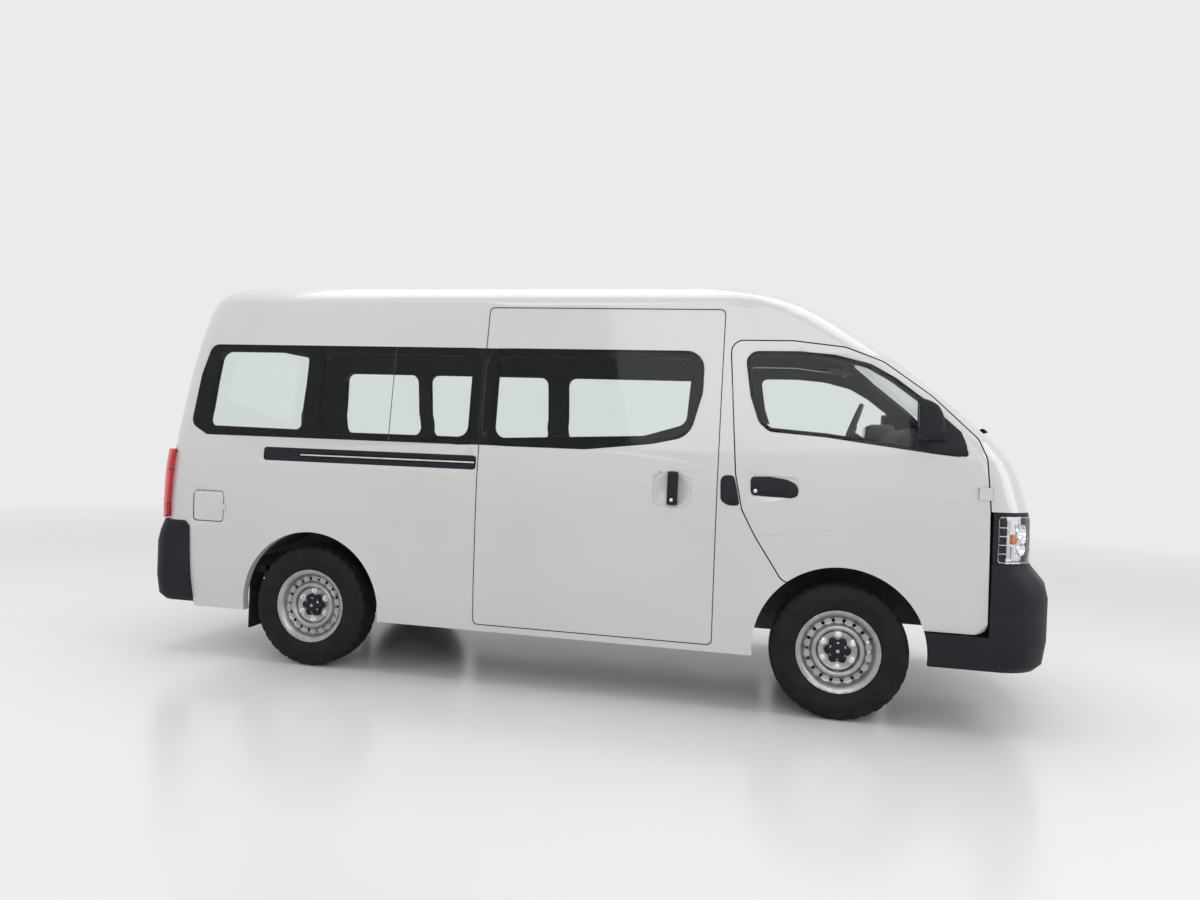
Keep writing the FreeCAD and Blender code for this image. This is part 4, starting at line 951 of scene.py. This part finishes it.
def makeBowl(x, z, side, size):
    bowl = joined("bowl", [spun("bowl", lampSizes["bowl"], 32),
                           roundBar("bulb", *lampSizes["bulb"], lampSizes["bulbRadius"], 16, 0.003)])
    smoothAt(bowl, 40)
    spot = lampSpot(x, z, side, lampSizes["bowlDepth"])
    heading = Vector((spot.x - lampSizes["aimFrom"], spot.y * lampSizes["aimOut"], 0)).normalized()
    turn = Vector((0, 1, 0)).rotation_difference(heading).to_matrix().to_4x4()
    bowl.data.transform(Matrix.Translation(spot) @ turn @ Matrix.Scale(size, 4))
    return bowl


def makeLampInsides():
    bright, ambers, bowls = [], [], []

    def bar(side, start, end, radius, sides):
        bright.append(roundBar("lampBar", lampSpot(*start[:2], side, start[2]),
                               lampSpot(*end[:2], side, end[2]), radius, sides))

    for side in (-1, 1):
        for x, low, high, radius in lampSizes["lights"]:
            bar(side, (x, low, lampSizes["lightDepth"]), (x, high, lampSizes["lightDepth"]), radius, 12)
        (x0, depth0), (x1, depth1) = lampSizes["slatEnds"]
        for z in lampSizes["slats"]:
            bar(side, (x0, z, depth0), (x1, z, depth1), lampSizes["thin"], 8)
        steps, depth = lampSizes["frameSteps"], lampSizes["frameDepth"]
        for start, end in lampSizes["frame"]:
            stops = [Vector(start).lerp(Vector(end), i / steps) for i in range(steps + 1)]
            for first, second in zip(stops, stops[1:]):
                bar(side, (*first, depth), (*second, depth), lampSizes["thin"], 8)
        back, front = (lampSpot(*lampSizes["amber"], side, depth) for depth in lampSizes["amberDepths"])
        ambers.append(roundBar("amberLamp", back, front, lampSizes["amberRadius"], 24, 0.006))
        bowls += [makeBowl(x, z, side, size) for x, z, size in lampSizes["bowls"]]
    fitOut(joined("headlampBars", bright), "root", "lamp_lens", brightMetal)
    fitOut(joined("headlampAmber", ambers), "root", "lamp_lens", amber)
    fitOut(joined("headlampBowls", bowls), "root", "lamp_lens", reflector)
    print("headlamps made")


tailSizes = {"breaks": (0.880, 1.085), "band": 0.014}


def makeTailLamps():
    bands = [(low, low + tailSizes["band"]) for low in tailSizes["breaks"]]
    lamps = skin("tail_lamps", 35, (darkTail,), [(2, place) for band in bands for place in band])
    for polygon in lamps.data.polygons:
        polygon.material_index = 1 if any(low < polygon.center.z < high for low, high in bands) else 0
    print("tail lamps made")


radiatorSizes = {"low": (2.255, -0.400, 0.420), "high": (2.290, 0.400, 1.060), "edge": 0.006, "finCount": 34,
                 "finStart": 0.430, "finPitch": 0.0185, "finThick": 0.004, "finX": (2.288, 2.298),
                 "finHalf": 0.390, "finEdge": 0.001}


def makeGrille():
    skin("grille", 32)
    pieces = [roundedBox("radiator", radiatorSizes["low"], radiatorSizes["high"], radiatorSizes["edge"])]
    (x0, x1), half = radiatorSizes["finX"], radiatorSizes["finHalf"]
    for i in range(radiatorSizes["finCount"]):
        z = radiatorSizes["finStart"] + i * radiatorSizes["finPitch"]
        pieces.append(roundedBox("fin", (x0, -half, z), (x1, half, z + radiatorSizes["finThick"]),
                                 radiatorSizes["finEdge"], 1))
    dressed(joined("radiator", pieces), "root", "underbody")
    print("grille and radiator made")


# cabin: boxes are (low, high, edge), bars are (start, end, radius, sides, edge)

cabinSizes = {
    "clusterHood": ((1.640, 0.250, 1.440), (1.800, 0.600, 1.530), 0.028),
    "clusterFace": ((1.633, 0.275, 1.455), (1.645, 0.575, 1.515), 0.005),
    "mirror": ((1.470, -0.120, 1.795), (1.492, 0.120, 1.858), 0.011),
    "mirrorStalk": ((1.484, 0, 1.850), (1.560, 0, 1.905), 0.008, 16, 0.002),
    "lever": ((1.560, 0.02, 1.260), (1.500, 0.02, 1.400), 0.009, 16, 0.002),
    "knob": ((1.502, 0.02, 1.390), (1.485, 0.02, 1.430), 0.022, 24, 0.010),
    "visorX": (1.395, 1.575), "visorZ": (1.868, 1.884), "visorY": 0.36, "visorHalf": 0.17, "visorEdge": 0.008,
    "visorHinge": (1.395, 0, 1.87), "visorTilt": 9,
}


def makeCabin():
    skin("dashboard", 35)
    skin("steering_wheel", 45)
    dressed(roundedBox("clusterHood", *cabinSizes["clusterHood"]), "root", "dash_plastic")
    fitOut(roundedBox("clusterFace", *cabinSizes["clusterFace"]), "root", "dash_plastic", glossBlack)
    mirror = joined("cabinMirror", [roundedBox("cabinMirror", *cabinSizes["mirror"]),
                                    roundBar("mirrorStalk", *cabinSizes["mirrorStalk"])])
    dressed(mirror, "root", "dash_plastic")
    hinge = Matrix.Translation(cabinSizes["visorHinge"])
    tilt = hinge @ Matrix.Rotation(math.radians(cabinSizes["visorTilt"]), 4, "Y") @ hinge.inverted()
    (x0, x1), (z0, z1), half = cabinSizes["visorX"], cabinSizes["visorZ"], cabinSizes["visorHalf"]
    for label, side, _ in doorSides:
        y = side * cabinSizes["visorY"]
        visor = roundedBox(label + "SunVisor", (x0, y - half, z0), (x1, y + half, z1),
                           cabinSizes["visorEdge"])
        visor.data.transform(tilt)
        fitOut(visor, "root", "dash_plastic", innerTrim)
    lever = joined("gearLever", [roundBar("gearLever", *cabinSizes["lever"]),
                                 roundBar("gearKnob", *cabinSizes["knob"])])
    dressed(lever, "root", "dash_plastic")
    print("cabin fittings made")


seatSizes = {
    "voxel": 0.014, "pressure": 3.0, "mass": 0.4, "frames": 14, "cap": 0.018, "corner": 0.030, "fill": 0.6,
    "channel": 0.14, "channelWidth": 0.009, "channelDepth": 0.007, "channelEnd": 0.04,
    "hinge": 0.162, "top": 0.343, "side": 0.006, "seatThick": 0.110, "crown": 0.010, "seatBack": 0.010,
    "seatFront": 0.012, "restThick": 0.097, "restBack": 0.008, "restDrop": 0.080, "restTop": 0.014,
    "pivot": 0.050, "lean": -12,
    "standBack": 0.32, "standFront": 0.07, "standSide": 0.05, "standTall": 0.27, "standEdge": 0.012,
    "rows": ((0.0, 1.0), (-0.9, 0.0), (-1.8, -0.9)),
}
cushionModels = {}


# a cushion with its low corner at the origin: a soft box, blown up as cloth, capped, then channelled
def cushionModel(size):
    key = tuple(round(v, 3) for v in size)
    if key in cushionModels:
        return cushionModels[key]
    piece = roundedBox("cushionModel", (0, 0, 0), size, seatSizes["corner"])
    remesh = piece.modifiers.new("even", "REMESH")
    remesh.mode = "VOXEL"
    remesh.voxel_size = seatSizes["voxel"]
    applyModifiers(piece)
    stuffed(piece)
    rows = max(1, round(size[1] / seatSizes["channel"]))
    end = seatSizes["channelEnd"]
    for vertex in piece.data.vertices:
        share = vertex.co.y / size[1] * rows
        seam = math.exp(-((share - round(share)) * size[1] / rows / seatSizes["channelWidth"]) ** 2)
        if end < vertex.co.y / size[1] < 1 - end:
            middle = Vector((size[0] / 2, vertex.co.y, size[2] / 2))
            vertex.co -= (vertex.co - middle).normalized() * seatSizes["channelDepth"] * seam
    smoothAt(piece, 60)
    cushionModels[key] = piece
    return piece


def stuffed(piece):
    start = [v.co.copy() for v in piece.data.vertices]
    cloth = piece.modifiers.new("stuffing", "CLOTH")
    cloth.settings.use_pressure = True
    cloth.settings.uniform_pressure_force = seatSizes["pressure"]
    cloth.settings.effector_weights.gravity = 0
    cloth.settings.quality = 4
    cloth.settings.mass = seatSizes["mass"]
    for number in range(1, seatSizes["frames"] + 1):
        bpy.context.scene.frame_set(number)
    applyModifiers(piece)
    bpy.context.scene.frame_set(1)
    for vertex, rest in zip(piece.data.vertices, start):
        move = vertex.co - rest
        if move.length > seatSizes["cap"]:
            vertex.co = rest + move.normalized() * seatSizes["cap"]


def cushion(name, low, high, lean=0.0, pivot=(0, 0, 0)):
    model = cushionModel([b - a for a, b in zip(low, high)])
    piece = newPiece(name, model.data.copy())
    piece.data.transform(Matrix.Translation(pivot) @ Matrix.Rotation(lean, 4, "Y")
                         @ Matrix.Translation(Vector(low) - Vector(pivot)))
    dressed(piece, "root", "seat_cloth")


def makeCushions(label, low, high):
    hinge, top = low.x + seatSizes["hinge"], low.z + seatSizes["top"]
    near, far = low.y + seatSizes["side"], high.y - seatSizes["side"]
    cushion(label + "Cushion", (hinge - seatSizes["seatBack"], near, top - seatSizes["seatThick"]),
            (high.x - seatSizes["seatFront"], far, top + seatSizes["crown"]))
    front = hinge - seatSizes["restBack"]
    cushion(label + "Backrest", (front - seatSizes["restThick"], near, top - seatSizes["restDrop"]),
            (front, far, high.z - seatSizes["restTop"]),
            math.radians(seatSizes["lean"]), (hinge - seatSizes["pivot"], 0, top))


def makeSeatStand(label, low, high):
    side = seatSizes["standSide"]
    back = low.x + (high.x - low.x) * seatSizes["standBack"]
    return roundedBox(label + "Base", (back, low.y + side, low.z),
                      (high.x - seatSizes["standFront"], high.y - side, low.z + seatSizes["standTall"]),
                      seatSizes["standEdge"])


# boxes of the benches in one node, told apart along the vehicle, front first
def separateRows(name):
    spots = [v.co.copy() for v in nodes[name].data.vertices]
    boxes = []
    for back, front in seatSizes["rows"]:
        row = [spot for spot in spots if back < spot.x < front]
        boxes.append((Vector([min(c[i] for c in row) for i in range(3)]),
                      Vector([max(c[i] for c in row) for i in range(3)])))
    return boxes


def makeSeats():
    seats = [(name.split("_")[0], name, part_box(name)) for name in ("driver_seat", "passenger_seat")]
    for label, corners in zip(("firstRow", "secondRow", "thirdRow"), separateRows("rear_benches")):
        seats.append((label, "rear_benches" if label == "firstRow" else None, corners))
    for label, replaced, (low, high) in seats:
        makeCushions(label, low, high)
        stand = makeSeatStand(label, low, high)
        fitOut(stand, "root", "seat_cloth", finishes["dash_plastic"])
        if replaced:
            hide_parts(replaced)
    for model in cushionModels.values():
        bpy.data.objects.remove(model)
    print("seats made, cushion sizes:", len(cushionModels))


# camera, floor and lights

viewSizes = {"place": (1.2148, -5.3175, 1.3337), "yaw": 0.22227, "pitch": -0.005123, "roll": 0.039015,
             "focal": 865.87, "width": 1200, "sensor": 36.0, "farthest": 200}


def makeCamera():
    yaw, pitch, roll = (viewSizes[k] for k in ("yaw", "pitch", "roll"))
    ahead = Vector((-math.sin(yaw) * math.cos(pitch), math.cos(yaw) * math.cos(pitch), math.sin(pitch)))
    level = Vector((math.cos(yaw), math.sin(yaw), 0))
    upright = level.cross(ahead)
    across = math.cos(roll) * level + math.sin(roll) * upright
    up = -math.sin(roll) * level + math.cos(roll) * upright
    data = bpy.data.cameras.new("photoCamera")
    data.sensor_fit = "HORIZONTAL"
    data.sensor_width = viewSizes["sensor"]
    data.lens = viewSizes["focal"] / viewSizes["width"] * viewSizes["sensor"]
    data.clip_end = viewSizes["farthest"]
    camera = newPiece("photoCamera", data)
    columns = [(*axis, 0) for axis in (across, up, -ahead)] + [(*viewSizes["place"], 1)]
    camera.matrix_world = Matrix(columns).transposed()
    bpy.context.scene.camera = camera


studio = {
    "floorRadius": 45.0, "floorDrop": 0.0005, "backdrop": 0.83, "worldLight": 0.52, "fadeStart": 5.0,
    "fadeEnd": 13.0,
    # place, target, size, power, seen in reflections
    "lights": {"overhead": ((0.0, 0.5, 6.5), (0, 0, 0), (9, 5), 230, True),
               "cameraSide": ((2.0, -7.5, 4.5), (0, 0, 1), (7, 4), 150, True),
               "rearSide": ((-6.5, -3.0, 4.0), (-1, 0, 1), (4, 4), 100, False),
               "noseSide": ((7.0, -1.5, 3.5), (2, 0, 1), (3, 4), 100, True)},
}


def areaLight(name, place, target, size, power, mirrored):
    data = bpy.data.lights.new(name, "AREA")
    data.shape = "RECTANGLE"
    data.size, data.size_y = size
    data.energy = power
    light = newPiece(name, data)
    light.visible_glossy = mirrored
    light.location = place
    light.rotation_euler = (Vector(target) - Vector(place)).to_track_quat("-Z", "Y").to_euler()


def grey(level):
    return (level, level, level, 1)


# the floor turns into the backdrop's own brightness away from the object
def makeFloor():
    clearSelection()
    bpy.ops.mesh.primitive_circle_add(vertices=96, radius=studio["floorRadius"], fill_type="NGON",
                                      location=(0, 0, -studio["floorDrop"]))
    floor = bpy.context.object
    floor.name = "studioFloor"
    material = finish("paleFloor", (0.80, 0.80, 0.80), 0.22, rough=(3.0, 3.0, 0.16, 0.28))
    tree = material.node_tree
    glow = node(material, "ShaderNodeEmission", Color=grey(studio["backdrop"]))
    coordinates = node(material, "ShaderNodeTexCoord")
    reach = node(material, "ShaderNodeVectorMath", operation="LENGTH")
    fade = node(material, "ShaderNodeMapRange")
    fade.inputs["From Min"].default_value = studio["fadeStart"]
    fade.inputs["From Max"].default_value = studio["fadeEnd"]
    mix = node(material, "ShaderNodeMixShader")
    tree.links.new(coordinates.outputs["Object"], reach.inputs[0])
    tree.links.new(reach.outputs["Value"], fade.inputs["Value"])
    tree.links.new(fade.outputs["Result"], mix.inputs[0])
    tree.links.new(tree.nodes["Principled BSDF"].outputs[0], mix.inputs[1])
    tree.links.new(glow.outputs[0], mix.inputs[2])
    tree.links.new(mix.outputs[0], tree.nodes["Material Output"].inputs["Surface"])
    wear(floor, material)


# what the camera, the glass and the mirrors see is the backdrop; everything else gets the softer light
def makeWorld():
    world = bpy.data.worlds.new("studioWorld")
    bpy.context.scene.world = world
    world.use_nodes = True
    tree = world.node_tree
    background = tree.nodes["Background"]
    background.inputs["Color"].default_value = grey(studio["worldLight"])
    shown = node(world, "ShaderNodeBackground", Color=grey(studio["backdrop"]))
    path = node(world, "ShaderNodeLightPath")
    most = node(world, "ShaderNodeMath", operation="MAXIMUM")
    both = node(world, "ShaderNodeMath", operation="MAXIMUM")
    mix = node(world, "ShaderNodeMixShader")
    tree.links.new(path.outputs["Is Camera Ray"], most.inputs[0])
    tree.links.new(path.outputs["Is Transmission Ray"], most.inputs[1])
    tree.links.new(most.outputs[0], both.inputs[0])
    tree.links.new(path.outputs["Is Glossy Ray"], both.inputs[1])
    tree.links.new(both.outputs[0], mix.inputs[0])
    tree.links.new(background.outputs[0], mix.inputs[1])
    tree.links.new(shown.outputs[0], mix.inputs[2])
    tree.links.new(mix.outputs[0], tree.nodes["World Output"].inputs["Surface"])


def makeStudio():
    makeFloor()
    makeWorld()
    for name, settings in studio["lights"].items():
        areaLight(name, *settings)
    bpy.context.scene.view_settings.view_transform = "Standard"


makeCamera()
makeStudio()
makePanels()
makePlainSkins()
makeWheels()
makeHandles()
makeMirrors()
makeSlidingHandle()
makeSeams()
makeEnds()
makeHeadlamps()
makeTailLamps()
makeGrille()
makeCabin()
makeSeats()
clearSelection()
print("all pieces made")
